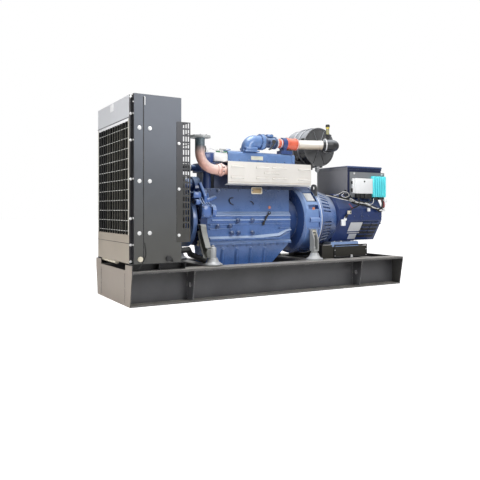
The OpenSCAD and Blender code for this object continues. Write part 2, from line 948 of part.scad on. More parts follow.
module starter_motor() {
    y = starter_y;
    z = starter_z;
    front = housing_x - gap;
    color("#22252b") {
        drum_x(front - 290, front - 90, y, z, starter_body_r);
        drum_x(front - 90, front, y, z, starter_r);
        drum_x(front - 250, front - 100, y + 8, z + 92, 32);
        block_between([front - 230, y - 14, z + 50], [front - 120, y + 30, z + 80]);
    }
}

module oil_filters() {
    x = block_x + 330;
    pitch = 130;
    r = 54;
    y = case_hw + 9 + r + 20;
    top = crank_z - 8;
    color("#20242c") {
        block_between([x - 65, case_hw + gap, top], [x + pitch + 65, y + 60, top + 45]);
        for (i = [0, 1]) translate([x + i * pitch, y, top - 210]) {
            cylinder(h = 210, r = r);
            translate([0, 0, -16]) cylinder(h = 16, r1 = r - 18, r2 = r);
        }
    }
}

module exhaust_manifold() {
    rear = man_x + shield_l - 38;
    port_r = 26;
    foot = 36;
    port_pitch = (head_rear - head_x - 60) / cylinders;
    color("#8a7a70") {
        drum_x(man_x, rear, -man_y, man_z, exh_r - 2);
        for (i = [0:cylinders - 1])
            translate([head_x + 105 + i * port_pitch, -head_hw, man_z]) rotate([90, 0, 0]) {
                cylinder(h = man_y - head_hw, r = port_r);
                translate([-foot, -foot, gap]) cube([2 * foot, 2 * foot, 10]);
            }
    }
}

// Folded sheet over the manifold, with four louvres in the upper and lower rows and one between them
module heat_shield() {
    t = 2.5;
    low = deck_z + 43;
    high = head_z - 3;
    low_row = low + 55;
    top_row = low + 155;
    fold = 12;
    turn = 60;
    louvre_r = 10;
    spans = [[32, 137], [300, 145], [485, 162], [784, 146]];
    mid_span = [389, 170];
    rear = man_x + shield_l;
    color("#e4dfd2") {
        along_x(man_x, rear)
            polygon([[-head_hw - gap, high], [-shield_y, high], [-shield_y, low], [-shield_y + turn, low - fold],
                [-shield_y + turn, low - fold + t], [-shield_y + t, low + t], [-shield_y + t, high - t],
                [-head_hw - gap, high - t]]);
        translate([man_x, 0, 0]) {
            for (z = [low_row, top_row], s = spans) drum_x(s[0], s[0] + s[1], -shield_y, z, louvre_r);
            drum_x(mid_span[0], mid_span[0] + mid_span[1], -shield_y, (low_row + top_row) / 2, louvre_r);
        }
    }
}

module exhaust_pipe() {
    collar_r = exh_r + 7;
    bend_z = man_z + exh_bend;
    rim_z = exh_top - exh_flange_t;
    holes = 8;
    color("#c99a8c")
        difference() {
            union() {
                drum_x(exh_joint, man_x, -man_y, man_z, exh_r);
                drum_x(exh_joint + 14, man_x - 20, -man_y, man_z, collar_r);
                translate([exh_joint, -man_y, bend_z]) rotate([90, 0, 0]) rotate([0, 0, 180])
                    rotate_extrude(angle = 90) translate([exh_bend, 0]) circle(exh_r);
                translate([exh_x, -man_y, bend_z]) cylinder(h = exh_top - bend_z, r = exh_r);
                translate([exh_x, -man_y, rim_z]) cylinder(h = exh_flange_t, r = exh_flange_r);
            }
            translate([exh_x, -man_y, bend_z]) cylinder(h = exh_top - bend_z + 1, r = exh_in);
            for (i = [0:holes - 1])
                rotate_about([exh_x, -man_y], (i + 0.5) * 360 / holes)
                    translate([exh_pcd_r, 0, rim_z - 1]) cylinder(h = exh_flange_t + 2, r = exh_hole_r);
        }
}

module ignition_box() {
    color("#e9eef2")
        block_between([head_x + 4, -head_hw, head_z], [cover_x - 8, -head_hw + 150, head_z + 86]);
}

module intake_elbow() {
    base = 14;
    rise = duct_z - elbow_bend;
    rim = 16;
    color("#5b7dbd") {
        block_between([elbow_x - 70, duct_y - 42, cover_z], [elbow_x + 80, duct_y + 88, cover_z + base]);
        translate([elbow_x, duct_y, cover_z + base]) cylinder(h = rise - cover_z - base, r = elbow_r);
        translate([elbow_x + elbow_bend, duct_y, rise]) rotate([90, 0, 0]) rotate([0, 0, 90])
            rotate_extrude(angle = 90) translate([elbow_bend, 0]) circle(elbow_r);
        drum_x(elbow_x + elbow_bend, elbow_end, duct_y, duct_z, elbow_r);
        drum_x(elbow_end, throttle_x, duct_y, duct_z, elbow_r + rim);
    }
}

module throttle_body() {
    lever_t = 8;
    spindle_r = 13;
    spindle_x = throttle_x + throttle_l / 2;
    color("#3c5582") {
        drum_x(throttle_x, hose_a, duct_y, duct_z, elbow_r - 10);
        drum_x(throttle_x, throttle_x + 22, duct_y, duct_z, elbow_r + 8);
        drum_x(hose_a - 24, hose_a - 8, duct_y, duct_z, elbow_r);
        drum_y(spindle_x, duct_y - 78, duct_y, duct_z, spindle_r);
        along_y(duct_y - 78 - lever_t, duct_y - 78)
            translate([spindle_x, duct_z]) polygon([[-18, 16], [20, 10], [-26, -78], [-44, -70]]);
    }
}

module intake_couplings() {
    band = 12;
    color("#e04a35") {
        drum_x(hose_a, mixer_x, duct_y, duct_z, 46);
        drum_x(hose_b, pipe_start.x, duct_y, duct_z, pipe_r + 12);
        drum_x(hose_b + band, hose_b + 2 * band, duct_y, duct_z, pipe_r + 15);
        drum_x(pipe_start.x - 2 * band, pipe_start.x - band, duct_y, duct_z, pipe_r + 15);
    }
}

module gas_mixer() {
    half = 40;
    color("#2a2e38") {
        drum_x(mixer_x, hose_b, duct_y, duct_z, elbow_r - 3);
        block_between([mixer_x + 8, duct_y - half, cover_z], [hose_b - 8, duct_y + half, duct_z]);
        block_between([mixer_x - 24, duct_y - half - 4, cover_z], [hose_b + 60, duct_y + half, cover_z + 34]);
    }
}

module air_pipe() {
    color("#d8cbb0") {
        difference() {
            bar(pipe_start - 20 * pipe_dir, pipe_end - gap * pipe_dir, pipe_r);
            block_between(pipe_start - [60, 80, 80], pipe_start + [gap, 80, 80]);
        }
        bar(pipe_end - 40 * pipe_dir, pipe_end - 32 * pipe_dir, pipe_r + 3);
    }
}

module filter_elbow() {
    band = 12;
    color("#1d1e1f") {
        bar(pipe_end, turn_start, rubber_r);
        bar(pipe_end + band * pipe_dir, pipe_end + 2 * band * pipe_dir, rubber_r + 3);
        translate(turn_centre) rotate([0, 0, -90 - pipe_turn])
            rotate_extrude(angle = 90 + pipe_turn) translate([rubber_bend, 0]) circle(rubber_r);
        drum_y(turn_centre.x + rubber_bend, turn_centre.y, filter_y - gap, filter_z, rubber_r);
        drum_y(turn_centre.x + rubber_bend, filter_y - 2 * band, filter_y - band, filter_z, rubber_r + 3);
    }
}

// Filter drum with a ribbed near cap, two raised bands and a domed far cap
module air_filter() {
    far = filter_y + filter_l;
    rib_t = 8;
    rib_d = 9;
    star = 8;
    rim = 12;
    dome = 60;
    color("#2a2b2c") {
        difference() {
            drum_y(filter_x, filter_y, far, filter_z, filter_r);
            drum_y(filter_x, filter_y - 1, filter_y + rib_d, filter_z, filter_r - rim);
        }
        intersection() {
            translate([filter_x, 0, filter_z])
                for (i = [0:star - 1])
                    rotate([0, (i + 0.5) * 360 / star, 0])
                        block_between([0, filter_y, -rib_t / 2], [filter_r, filter_y + rib_d, rib_t / 2]);
            drum_y(filter_x, filter_y, filter_y + rib_d, filter_z, filter_r - rim + 1);
        }
        drum_y(turn_centre.x + rubber_bend, filter_y, filter_y + rib_d, filter_z, rubber_r + 10);
        for (y = [filter_y + 92, filter_y + 190])
            drum_y(filter_x, y, y + 14, filter_z, filter_r + 5);
        translate([filter_x, far, filter_z]) rotate([-90, 0, 0])
            cylinder(h = dome, r1 = filter_r - 8, r2 = filter_r - 70);
    }
}

module filter_bracket() {
    foot = housing_x + 110;
    foot_z = crank_z + 200;
    head_low = filter_z - 150;
    web = 10;
    saddle = filter_r + 5 + gap;
    color("#2a2b2c")
        for (y = [filter_y + 92, filter_y + 190])
            difference() {
                along_y(y + 2, y + 2 + web)
                    polygon([[foot, foot_z], [foot + 80, foot_z], [foot + 250, head_low], [foot + 60, head_low]]);
                drum_x(foot - 5, foot + 300, 0, crank_z, housing_r + gap);
                drum_y(filter_x, y - 5, y + 20, filter_z, saddle);
            }
}

// Angle, seen from the front, of the inspection opening on the housing's near shoulder
cover_angle = 47;

// Piece on the near shoulder of the housing, drawn flat with its outward face up
module on_shoulder() {
    translate([0, 0, crank_z]) rotate([cover_angle, 0, 0]) children();
}

module flywheel_housing() {
    flare = 25;
    rim_l = 25;
    pocket_r = housing_r - 22;
    pocket_hw = 68;
    boss_z = crank_z - 4;
    color("#3a5a9a") {
        difference() {
            union() {
                drum_x(block_rear, housing_x, 0, crank_z, neck_r);
                translate([housing_x, 0, crank_z]) rotate([0, 90, 0])
                    cylinder(h = flare, r1 = housing_r - flare, r2 = housing_r);
                drum_x(housing_x + flare, housing_rear - rim_l, 0, crank_z, housing_r);
            }
            both_sides()
                block_between([housing_x - 1, -housing_r - 1, crank_z - 170],
                    [housing_rear - rim_l, -housing_flat, crank_z + 150]);
            on_shoulder()
                block_between([housing_x + 52, -pocket_hw, pocket_r], [housing_rear - rim_l, pocket_hw, housing_r + 20]);
            block_between([housing_x + 55, -housing_flat - 1, crank_z + 104],
                [housing_rear - rim_l, -housing_flat + 60, crank_z + 146]);
        }
        drum_x(housing_rear - rim_l, housing_rear, 0, crank_z, housing_r + 6);
        both_sides() {
            drum_x(housing_x + 62, housing_rear - rim_l, -housing_flat + 6, boss_z, 28);
            block_between([housing_x + 40, -housing_flat - 12, crank_z - 96],
                [housing_rear - rim_l, -housing_flat + 6, crank_z - 84]);
        }
    }
}

module inspection_cover() {
    hw = 52;
    low = housing_r - 22 + gap;
    rim_l = 25;
    color("#c9ccd0")
        on_shoulder() {
            block_between([housing_x + 66, -hw, low], [housing_rear - rim_l - 12, hw, low + 10]);
            for (x = [housing_x + 78, housing_rear - rim_l - 24], y = [-hw + 12, hw - 12])
                translate([x, y, low + 10]) cylinder(h = 6, r = 7);
        }
}

module lifting_eye() {
    a = 41.5;
    seat_r = housing_r + 6;
    y = -seat_r * sin(a);
    z = crank_z + seat_r * cos(a);
    lift = 50;
    r = 42;
    front = housing_rear - 22;
    rear = housing_rear - 4;
    color("#1e1f20")
        difference() {
            along_x(front, rear)
                union() {
                    translate([y, z + lift]) circle(r);
                    polygon([[y - r, z + lift], [y - r - 6, z - 20], [y + r + 18, z - 60], [y + r, z + lift]]);
                }
            drum_x(front - 1, rear + 1, y, z + lift + 5, 20);
            drum_x(front - 1, rear + 1, 0, crank_z, seat_r + gap);
        }
}

// One group of slots round the adapter's side, centred on an angle above the horizontal
module vent_group(mid) {
    pitch = 7;
    slot_t = 16;
    slot_in = 45;
    slot_l = 120;
    depth = 85;
    for (i = [0:vent_slots - 1])
        rotate([mid + (i - (vent_slots - 1) / 2) * pitch, 0, 0])
            block_between([housing_rear + slot_in, -adapter_r - 10, -slot_t / 2],
                [housing_rear + slot_in + slot_l, -adapter_r + depth, slot_t / 2]);
}

module adapter_cone(grow) {
    translate([housing_rear, 0, crank_z]) rotate([0, 90, 0]) {
        cylinder(h = adapter_lip, r = adapter_r + grow);
        translate([0, 0, adapter_lip])
            cylinder(h = adapter_l - adapter_lip, r1 = adapter_r - 14 + grow, r2 = adapter_small + grow);
    }
}

module adapter_ring() {
    color("#3a5a9a")
        difference() {
            adapter_cone(0);
            for (side = [0, 1]) translate([0, 0, crank_z]) mirror([0, side, 0]) {
                vent_group(-33);
                vent_group(22);
            }
        }
}

module alt_outline(inset) {
    low = alt_low + inset;
    high = alt_top - inset;
    hw = alt_hw - inset;
    polygon([[-alt_belly_hw, low], [alt_belly_hw, low], [hw, alt_side_low], [hw, alt_side_high],
        [alt_roof_hw, high], [-alt_roof_hw, high], [-hw, alt_side_high], [-hw, alt_side_low]]);
}

module alternator_body() {
    band = 14;
    color("#25356b") {
        along_x(adapter_rear, stator_rear) alt_outline(2);
        along_x(adapter_rear, adapter_rear + band) alt_outline(0);
        along_x(stator_rear - band, stator_rear) alt_outline(0);
    }
}

// End cover with slatted openings in its slanted lower sides and a bearing cap at the rear
module alternator_end_cover() {
    tilt = atan2(alt_hw - cover_inset - alt_belly_hw, alt_side_low - alt_low - cover_inset);
    louvre_l = end_l - 70;
    slat = 16;
    pitch = 36;
    first = 8;
    bearing_r = 95;
    color("#25356b") {
        difference() {
            along_x(stator_rear, end_rear) alt_outline(cover_inset);
            both_sides()
                for (i = [0:louvres - 1])
                    translate([stator_rear + 24, -alt_hw + cover_inset, alt_side_low]) rotate([-90 + tilt, 0, 0])
                        translate([0, first + i * pitch, -20]) cube([louvre_l, slat, 44]);
        }
        drum_x(end_rear, end_rear + 20, 0, crank_z, bearing_r);
    }
}

module alternator_feet() {
    color("#4a69b0") both_sides()
        difference() {
            block_between([adapter_rear - 80, -foot_edge, alt_low - foot_h],
                [stator_rear - 35, -foot_edge + foot_w, alt_low]);
            adapter_cone(gap);
        }
}

module alternator_blocks() {
    color("#1d1e1f") both_sides() {
        block_between([blocks_front, -foot_edge, skid_h], [blocks_rear, -foot_edge + 100, alt_low - foot_h]);
        difference() {
            block_between([prop_x, -foot_edge - 15, skid_h], [prop_x + prop_l, -foot_edge + 75, crank_z - 260]);
            adapter_cone(gap);
            block_between([blocks_front - 1, -foot_edge - 16, skid_h - 1], [prop_x + prop_l + 1, 0, crank_z]);
            block_between([adapter_rear - 80 - gap, -foot_edge - 16, alt_low - foot_h - gap],
                [prop_x + prop_l + 1, 0, crank_z]);
        }
    }
}

module terminal_box() {
    over = 4;
    hw = term_w / 2;
    color("#3a4a82") {
        block_between([term_x, -hw, alt_top], [term_x + term_l, hw, term_top - lid_h]);
        block_between([term_x - over, -hw - over, term_top - lid_h], [term_x + term_l + over, hw + over, term_top]);
    }
}

module control_plate() {
    color("#5a5d60")
        block_between([term_x + 30, plate_y, alt_top - 35], [term_x + term_l + 46, -term_w / 2, term_top - 60]);
}

module white_unit() {
    depth = 34;
    color("#f2f3f4")
        block_between([term_x + 48, plate_y - depth, alt_top + 4], [cyan_x, plate_y, alt_top + 166]);
}

module cyan_unit() {
    depth = 40;
    color("#35c5ee")
        translate([cyan_x + gap, plate_y - depth, alt_top - 32]) cube([term_l - 282 - gap, depth, 226]);
}

// Wrapped loom that runs from the terminal box's front, down the near side, to a gland under the bright unit
module wiring_loom() {
    r = 11;
    y = alt_hw + r + 3;
    color("#161617") {
        bent_bar([[term_x - gap, -term_w / 2 + 30, alt_top + 12], [term_x - 60, -term_w / 2, alt_top + 8],
            [term_x - 86, -y, alt_side_high + 90], [term_x + 78, -y, alt_side_high + 48],
            [term_x + 250, -y, alt_side_high + 18], [term_x + 405, -y, alt_side_high + 4],
            [term_x + 405, plate_y - 20, alt_top - 32 - gap]], r);
        bent_bar([[term_x + 78, -y, alt_side_high + 48], [term_x - 24, -y, crank_z + 56],
            [term_x - 80, -y, crank_z + 20]], 8);
    }
}

skid_beams();
skid_end_plates();
skid_end_caps();
skid_gussets();
skid_cross_members();
radiator_rails();
radiator_tanks();
radiator_core();
radiator_sides();
radiator_bolts();
header_panel();
lower_panel();
front_stiles();
front_guard();
filler_cap();
fan_shroud();
fan();
fan_guard_sides();
fan_guard_rear();
fan_drive();
crank_damper();
fan_belt();
timing_case();
cylinder_block();
oil_pan();
cylinder_head();
valve_cover();
front_mounts();
rear_mounts();
coolant_pump();
coolant_hoses();
thermostat_housing();
dipstick();
starter_motor();
oil_filters();
exhaust_manifold();
heat_shield();
exhaust_pipe();
ignition_box();
intake_elbow();
throttle_body();
intake_couplings();
gas_mixer();
air_pipe();
air_filter();
filter_elbow();
filter_bracket();
flywheel_housing();
inspection_cover();
lifting_eye();
adapter_ring();
alternator_body();
alternator_end_cover();
alternator_feet();
alternator_blocks();
terminal_box();
control_plate();
white_unit();
cyan_unit();
wiring_loom();
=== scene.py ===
# An open gas engine generator set on a steel skid, dressed in paint, rubber and bare metal.
import math
from itertools import product

import bmesh
import bpy
from mathutils import Matrix, Vector


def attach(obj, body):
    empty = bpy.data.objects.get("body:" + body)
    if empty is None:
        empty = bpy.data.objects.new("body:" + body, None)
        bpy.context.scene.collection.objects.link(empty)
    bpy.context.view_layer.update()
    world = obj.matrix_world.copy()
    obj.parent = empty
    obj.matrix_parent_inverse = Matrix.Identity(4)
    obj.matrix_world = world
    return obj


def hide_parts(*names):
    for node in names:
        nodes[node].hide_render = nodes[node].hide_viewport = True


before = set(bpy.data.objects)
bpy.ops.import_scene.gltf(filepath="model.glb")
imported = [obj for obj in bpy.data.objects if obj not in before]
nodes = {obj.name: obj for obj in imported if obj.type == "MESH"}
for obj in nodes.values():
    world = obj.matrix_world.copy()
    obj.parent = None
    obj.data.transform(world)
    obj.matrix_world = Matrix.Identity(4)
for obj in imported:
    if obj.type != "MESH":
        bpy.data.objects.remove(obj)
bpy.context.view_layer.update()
scene = bpy.context.scene
scene.view_settings.view_transform = "Standard"


# The camera stands low at the radiator's near corner, level, and looks along the near side.
# Its lens is long and its frame is shifted, as the photograph is cut from a larger one.
eye = Vector((-2.9904, -4.7519, 0.7854))
ahead = Vector((0.5043, 0.8636, 0.0))
lens = bpy.data.cameras.new("camera")
lens.sensor_width = 36.0
lens.lens = 41.88
lens.shift_y = -0.0625
lens.clip_start = 0.05


def aim(made, place, direction):
    """Stands a camera or a lamp at a place and turns it to look in a direction."""
    made.location = place
    made.rotation_mode = "QUATERNION"
    made.rotation_quaternion = direction.to_track_quat("-Z", "Y")
    scene.collection.objects.link(made)


camera = bpy.data.objects.new("camera", lens)
aim(camera, eye, ahead)
scene.camera = camera


# Studio: a pale floor that runs off into white, under wide soft lamps overhead, at the radiator's end
# and along the near side, with a weak one behind. Large lamps keep the shadow under the skid faint.
class Wire:
    """A value, colour or vector inside a material's nodes."""

    def __init__(self, tree, socket=None):
        self.tree = tree
        self.socket = socket

    def node(self, kind, sockets=(), out=0, **settings):
        """A new node's output: its settings come first, then the values or links of its sockets."""
        made = self.tree.nodes.new("ShaderNode" + kind)
        for name, value in settings.items():
            setattr(made, name, value)
        for name, value in dict(sockets).items():
            if isinstance(value, Wire):
                self.tree.links.new(value.socket, made.inputs[name])
            else:
                made.inputs[name].default_value = value
        return Wire(self.tree, made.outputs[out])

    def math(self, operation, *values):
        return self.node("Math", enumerate(values), operation=operation)

    def __add__(self, other):
        return self.math("ADD", self, other)

    def __radd__(self, other):
        return self.math("ADD", other, self)

    def __sub__(self, other):
        return self.math("SUBTRACT", self, other)

    def __rsub__(self, other):
        return self.math("SUBTRACT", other, self)

    def __mul__(self, other):
        return self.math("MULTIPLY", self, other)

    def at_most(self, limit):
        return self.math("MINIMUM", self, limit)

    def step(self, low, high):
        """0 below low, 1 above high, smooth between them."""
        return self.node("MapRange", {0: self, 1: low, 2: high}, interpolation_type="SMOOTHSTEP")

    def pick(self, a, b):
        """Colour a where this is 0 and colour b where it is 1."""
        a, b = (tone if isinstance(tone, Wire) else (*tone, 1) for tone in (a, b))
        return self.node("Mix", {0: self, 6: a, 7: b}, out=2, data_type="RGBA")

    def axis(self, name):
        """One axis of a vector."""
        return self.node("SeparateXYZ", {0: self}, out=name)

    def noise(self, scale, detail=3.0, rough=0.5):
        return self.node("TexNoise", {"Vector": self, "Scale": scale, "Detail": detail, "Roughness": rough})

    def feed(self, socket):
        """Links this into a shader's own socket."""
        self.tree.links.new(self.socket, socket)


def new_material(name):
    """A material with its shader's sockets, and the wire of the place in the object's own frame."""
    made = bpy.data.materials.new(name)
    made.use_nodes = True
    sockets = made.node_tree.nodes["Principled BSDF"].inputs
    return made, sockets, Wire(made.node_tree).node("TexCoord", out="Object")


world = bpy.data.worlds.new("studio")
scene.world = world
world.use_nodes = True
backdrop = world.node_tree.nodes["Background"].inputs
ray = Wire(world.node_tree)
seen = ray.node("LightPath", out="Is Camera Ray") + ray.node("LightPath", out="Is Transmission Ray")
mirrored = ray.node("LightPath", out="Is Glossy Ray")
(seen.at_most(1.0) * 0.9 + mirrored * 0.35 + 0.1).feed(backdrop["Strength"])
backdrop["Color"].default_value = (1.0, 1.0, 1.0, 1.0)

engine_middle = Vector((0.0, 0.0, 0.8))
for name, place, size, watts in (
    ("overhead", (-0.5, -0.6, 5.2), 3.4, 205.0),
    ("radiator_end", (-6.2, -1.4, 2.6), 3.0, 155.0),
    ("near_side", (1.5, -6.5, 3.4), 3.2, 158.0),
    ("far_side", (1.5, 5.5, 3.0), 4.0, 40.0),
):
    light = bpy.data.lights.new(name, "AREA")
    light.shape = "DISK"
    light.size = size
    light.energy = watts
    aim(bpy.data.objects.new(name, light), place, engine_middle - Vector(place))

floor_mesh = bpy.data.meshes.new("floor")
floor_corners = [(-40, -40, 0), (40, -40, 0), (40, 40, 0), (-40, 40, 0)]
floor_mesh.from_pydata(floor_corners, [], [(0, 1, 2, 3)])
floor = bpy.data.objects.new("floor", floor_mesh)
scene.collection.objects.link(floor)
paper, sockets, place = new_material("studio_paper")
place.noise(9.0).pick((0.86, 0.86, 0.86), (0.9, 0.9, 0.9)).feed(sockets["Base Color"])
sockets["Roughness"].default_value = 0.9
sockets["Specular IOR Level"].default_value = 0.1
sockets["Emission Strength"].default_value = 1.0
far_off = place.node("VectorMath", {0: place}, out="Value", operation="LENGTH").step(2.6, 9.0)
seen = place.node("LightPath", out="Is Camera Ray")
(seen * (0.64 + far_off * 0.36) + 0.16).feed(sockets["Emission Color"])
floor_mesh.materials.append(paper)


# Skid: welded steel channels, plates and gussets in satin black enamel, with dust and painted light on the flanges'
# tops, a band of painted shade under the top flange, webs turning bluish towards the bottom as a painted
# reflection, and a paler bottom flange as painted light. The end plates carry the same enamel; their faces that
# look -X are painted paler as the light they catch. Beads of weld join the gussets and the corners.
def coated(name, colour, rough=0.4, mottle=0.1, mottle_scale=2.5, grain=0.06, grain_scale=180.0, metallic=0.0,
           coat=0.0, dust_and_top_light=0.0, dust_and_top_light_tone=(0.42, 0.39, 0.34), edge=0.0, edge_wear_and_highlight_tone=(0.5, 0.5, 0.5), bump=0.12,
           radius=0.003, fades=(), top_highlight=0.0, top_highlight_tone=(0.5, 0.5, 0.5), end_face_lighting=None, side_face_lighting=None):
    """Enamel or moulded skin: cloudy colour, fine grain, dust and painted top light on what faces up, and edges
    rubbed pale, partly wear and partly painted highlight.

    A top highlight is a paler painted highlight on rounded upper edges; end and side face lighting is painted light
    and shade on faces that look -X and +-Y.
    A fade names an axis, where it starts and ends, and the colour below its start."""
    made, sockets, place = new_material(name)
    cloud = place.noise(mottle_scale, 4.0, 0.6)
    fine = place.noise(grain_scale, 2.0)

    def clouded(tone):
        dark = [c * (1 - mottle) for c in tone]
        light = [min(1.0, c * (1 + mottle)) for c in tone]
        return cloud.step(0.3, 0.7).pick(dark, light)

    skin = clouded(colour)
    for axis, start, end, tone in fades:
        skin = place.axis(axis).step(start, end).pick(clouded(tone), skin)
    soft = place.node("Bevel", {"Radius": radius}, samples=4)
    face = place.node("NewGeometry", out="Normal")
    # Painted light and shade on faces that look -X, then on faces that look +-Y.
    if end_face_lighting:
        front = (face.axis("X") * -1.0).step(0.6, 0.9) * place.axis("X").step(1.3, 1.2)
        skin = front.pick(skin, clouded(end_face_lighting))
    if side_face_lighting:
        skin = (face.axis("Y") * face.axis("Y")).step(0.4, 0.8).pick(skin, clouded(side_face_lighting))
    # Painted highlight on rounded upper edges.
    if top_highlight:
        skin = (soft.axis("Z").step(0.12, 0.8) * top_highlight).pick(skin, top_highlight_tone)
    # Edges rubbed pale: partly wear, partly painted highlight.
    if edge:
        turned = 1.0 - place.node("VectorMath", {0: soft, 1: face}, out="Value", operation="DOT_PRODUCT")
        edge_wear_and_highlight = (turned * 6.0).at_most(1.0) * place.noise(14.0, 5.0, 0.7).step(0.42, 0.62) * edge
        skin = edge_wear_and_highlight.pick(skin, edge_wear_and_highlight_tone)
    sheen = rough + (fine - 0.5) * grain + (cloud - 0.5) * 0.12
    # Dust and painted light on faces that look up.
    if dust_and_top_light:
        dust_and_top_light_mask = face.axis("Z").step(0.5, 0.95) * place.noise(7.0, 5.0, 0.65).step(0.3, 0.75) * dust_and_top_light
        skin = dust_and_top_light_mask.pick(skin, dust_and_top_light_tone)
        sheen = sheen + dust_and_top_light_mask * 0.35
    skin.feed(sockets["Base Color"])
    sheen.feed(sockets["Roughness"])
    sockets["Metallic"].default_value = metallic
    sockets["Coat Weight"].default_value = coat
    sockets["Coat Roughness"].default_value = 0.12
    peel = place.node("Bump", {"Strength": bump, "Distance": 0.001, "Height": fine, "Normal": soft})
    peel.feed(sockets["Normal"])
    return made


def dress(material, *names):
    """Gives CAD nodes a material."""
    for name in names:
        for held in nodes[name].material_slots:
            held.material = material


# Painted light and shade: dust and light on the flanges' tops, shade under the top flange, a bluish reflection down
# the webs, a paler bottom flange.
skid_black = coated("skid_enamel", (0.13, 0.125, 0.12), rough=0.36, mottle=0.16, dust_and_top_light=0.9,
                    dust_and_top_light_tone=(0.52, 0.49, 0.44), edge=0.9, edge_wear_and_highlight_tone=(0.46, 0.45, 0.43), radius=0.005,
                    top_highlight=0.85, top_highlight_tone=(0.34, 0.33, 0.31),
                    fades=(("Z", 0.274, 0.277, (0.05, 0.048, 0.05)), ("Z", 0.02, 0.27, (0.095, 0.096, 0.104)),
                           ("Z", 0.015, 0.018, (0.14, 0.137, 0.135))))
dress(skid_black, "skid_beams", "skid_gussets", "skid_cross_members")
# Painted shade: the rails under the radiator are painted near black.
dress(coated("rail_shade_enamel", (0.014, 0.014, 0.015), mottle=0.16), "radiator_rails")
# Painted light: the end plates' faces that look -X are paler.
dress(coated("skid_end_enamel", (0.07, 0.068, 0.066), rough=0.42, mottle=0.06, dust_and_top_light=0.3, edge=0.6,
             edge_wear_and_highlight_tone=(0.46, 0.44, 0.4), end_face_lighting=(0.34, 0.29, 0.245)), "skid_end_plates", "skid_end_caps")


def loft(mesh, rings):
    """Solid through rings of places, closed at both ends."""
    rings = [[mesh.verts.new(spot) for spot in ring] for ring in rings]
    for low, high in zip(rings, rings[1:]):
        for k in range(len(low)):
            j = (k + 1) % len(low)
            mesh.faces.new((low[k], low[j], high[j], high[k]))
    mesh.faces.new(rings[0][::-1])
    mesh.faces.new(rings[-1])


def ring(r, first, step, count):
    """Places (across, up) on a ring of radius r, from a first angle and on by steps in degrees."""
    turns = [math.radians(first + step * k) for k in range(count)]
    return [(r * math.cos(turn), r * math.sin(turn)) for turn in turns]


def tube(mesh, route, radius, around=10, step=14.0, ridge=0.0):
    """Round bar or hose on a smooth route; with a ridge every second ring stands proud."""
    points = [Vector(p) for p in route]
    points = [points[0] * 2 - points[1]] + points + [points[-1] * 2 - points[-2]]
    path = []
    for a, b, c, d in zip(points, points[1:], points[2:], points[3:]):
        count = max(2, round((c - b).length / step))
        for i in range(count):
            t = i / count
            path.append((b * 2 + (c - a) * t + (a * 2 - b * 5 + c * 4 - d) * t ** 2
                         + (b * 3 - a - c * 3 + d) * t ** 3) / 2)
    path.append(points[-2])
    side = (path[1] - path[0]).orthogonal().normalized()
    rings = []
    for i, here in enumerate(path):
        onward = (path[min(i + 1, len(path) - 1)] - path[max(i - 1, 0)]).normalized()
        side = (side - onward * side.dot(onward)).normalized()
        upward = onward.cross(side)
        reach = radius * (1 + ridge * (i % 2))
        rings.append([here + side * a + upward * b for a, b in ring(reach, 0, 360 / around, around)])
    loft(mesh, rings)


sharp_fold = math.radians(38)


def piece(name, mesh, material, slot, *stands_for):
    """Turns a mesh drawn in millimetres into a piece of the set, smooth except at sharp folds."""
    bmesh.ops.recalc_face_normals(mesh, faces=mesh.faces)
    bmesh.ops.scale(mesh, vec=(0.001, 0.001, 0.001), verts=mesh.verts)
    data = bpy.data.meshes.new(name)
    mesh.to_mesh(data)
    mesh.free()
    data.shade_smooth()
    data.set_sharp_from_angle(angle=sharp_fold)
    data.materials.append(material)
    made = bpy.data.objects.new(name, data)
    scene.collection.objects.link(made)
    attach(made, "root")
    if stands_for:
        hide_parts(*stands_for)


welds = bmesh.new()
for side in (-1, 1):
    for x in (-948, -936, 927, 939):
        tube(welds, [(x, side * 350, 16), (x, side * 350, 280)], 4, around=6, step=7, ridge=0.3)
        tube(welds, [(x, side * 352, 14), (x, side * 450, 14)], 4, around=6, step=7, ridge=0.3)
    for z in (22, 150):
        tube(welds, [(-1500.2, side * 331, z), (-1500.2, side * 331, z + 118)], 1.6, around=6, step=8, ridge=0.5)
piece("skid_welds", welds, skid_black, "skid_paint")


# Radiator: folded sheet in grey-black coat over the tanks, bluish at the top and warmer below as a painted
# reflection, its faces that look -X painted black as shade. The pans and stiles in front are painted pale as the
# light they catch at the radiator's end, with their sides painted black as shade. Bright bolts with washers hold
# the side panels and the slotted fan guards.
# Painted shade for the radiator's faces that look -X and the front sheets' sides.
shade_black = (0.03, 0.03, 0.034)
dress(coated("radiator_coat", (0.1, 0.117, 0.152), rough=0.32, mottle=0.08, mottle_scale=1.6, edge=0.4, bump=0.06,
             fades=(("Z", 0.35, 1.6, (0.088, 0.088, 0.082)),), end_face_lighting=shade_black),
      "radiator_sides", "radiator_tanks")
# Painted reflection: the guard sides are paler and warmer towards the bottom.
dress(coated("guard_sheet", (0.042, 0.044, 0.055), rough=0.36, edge=0.3,
             fades=(("Z", 0.6, 1.4, (0.055, 0.054, 0.05)),)), "fan_guard_sides")
dress(coated("guard_black", (0.05, 0.052, 0.056), mottle=0.12), "fan_shroud", "fan_guard_rear")
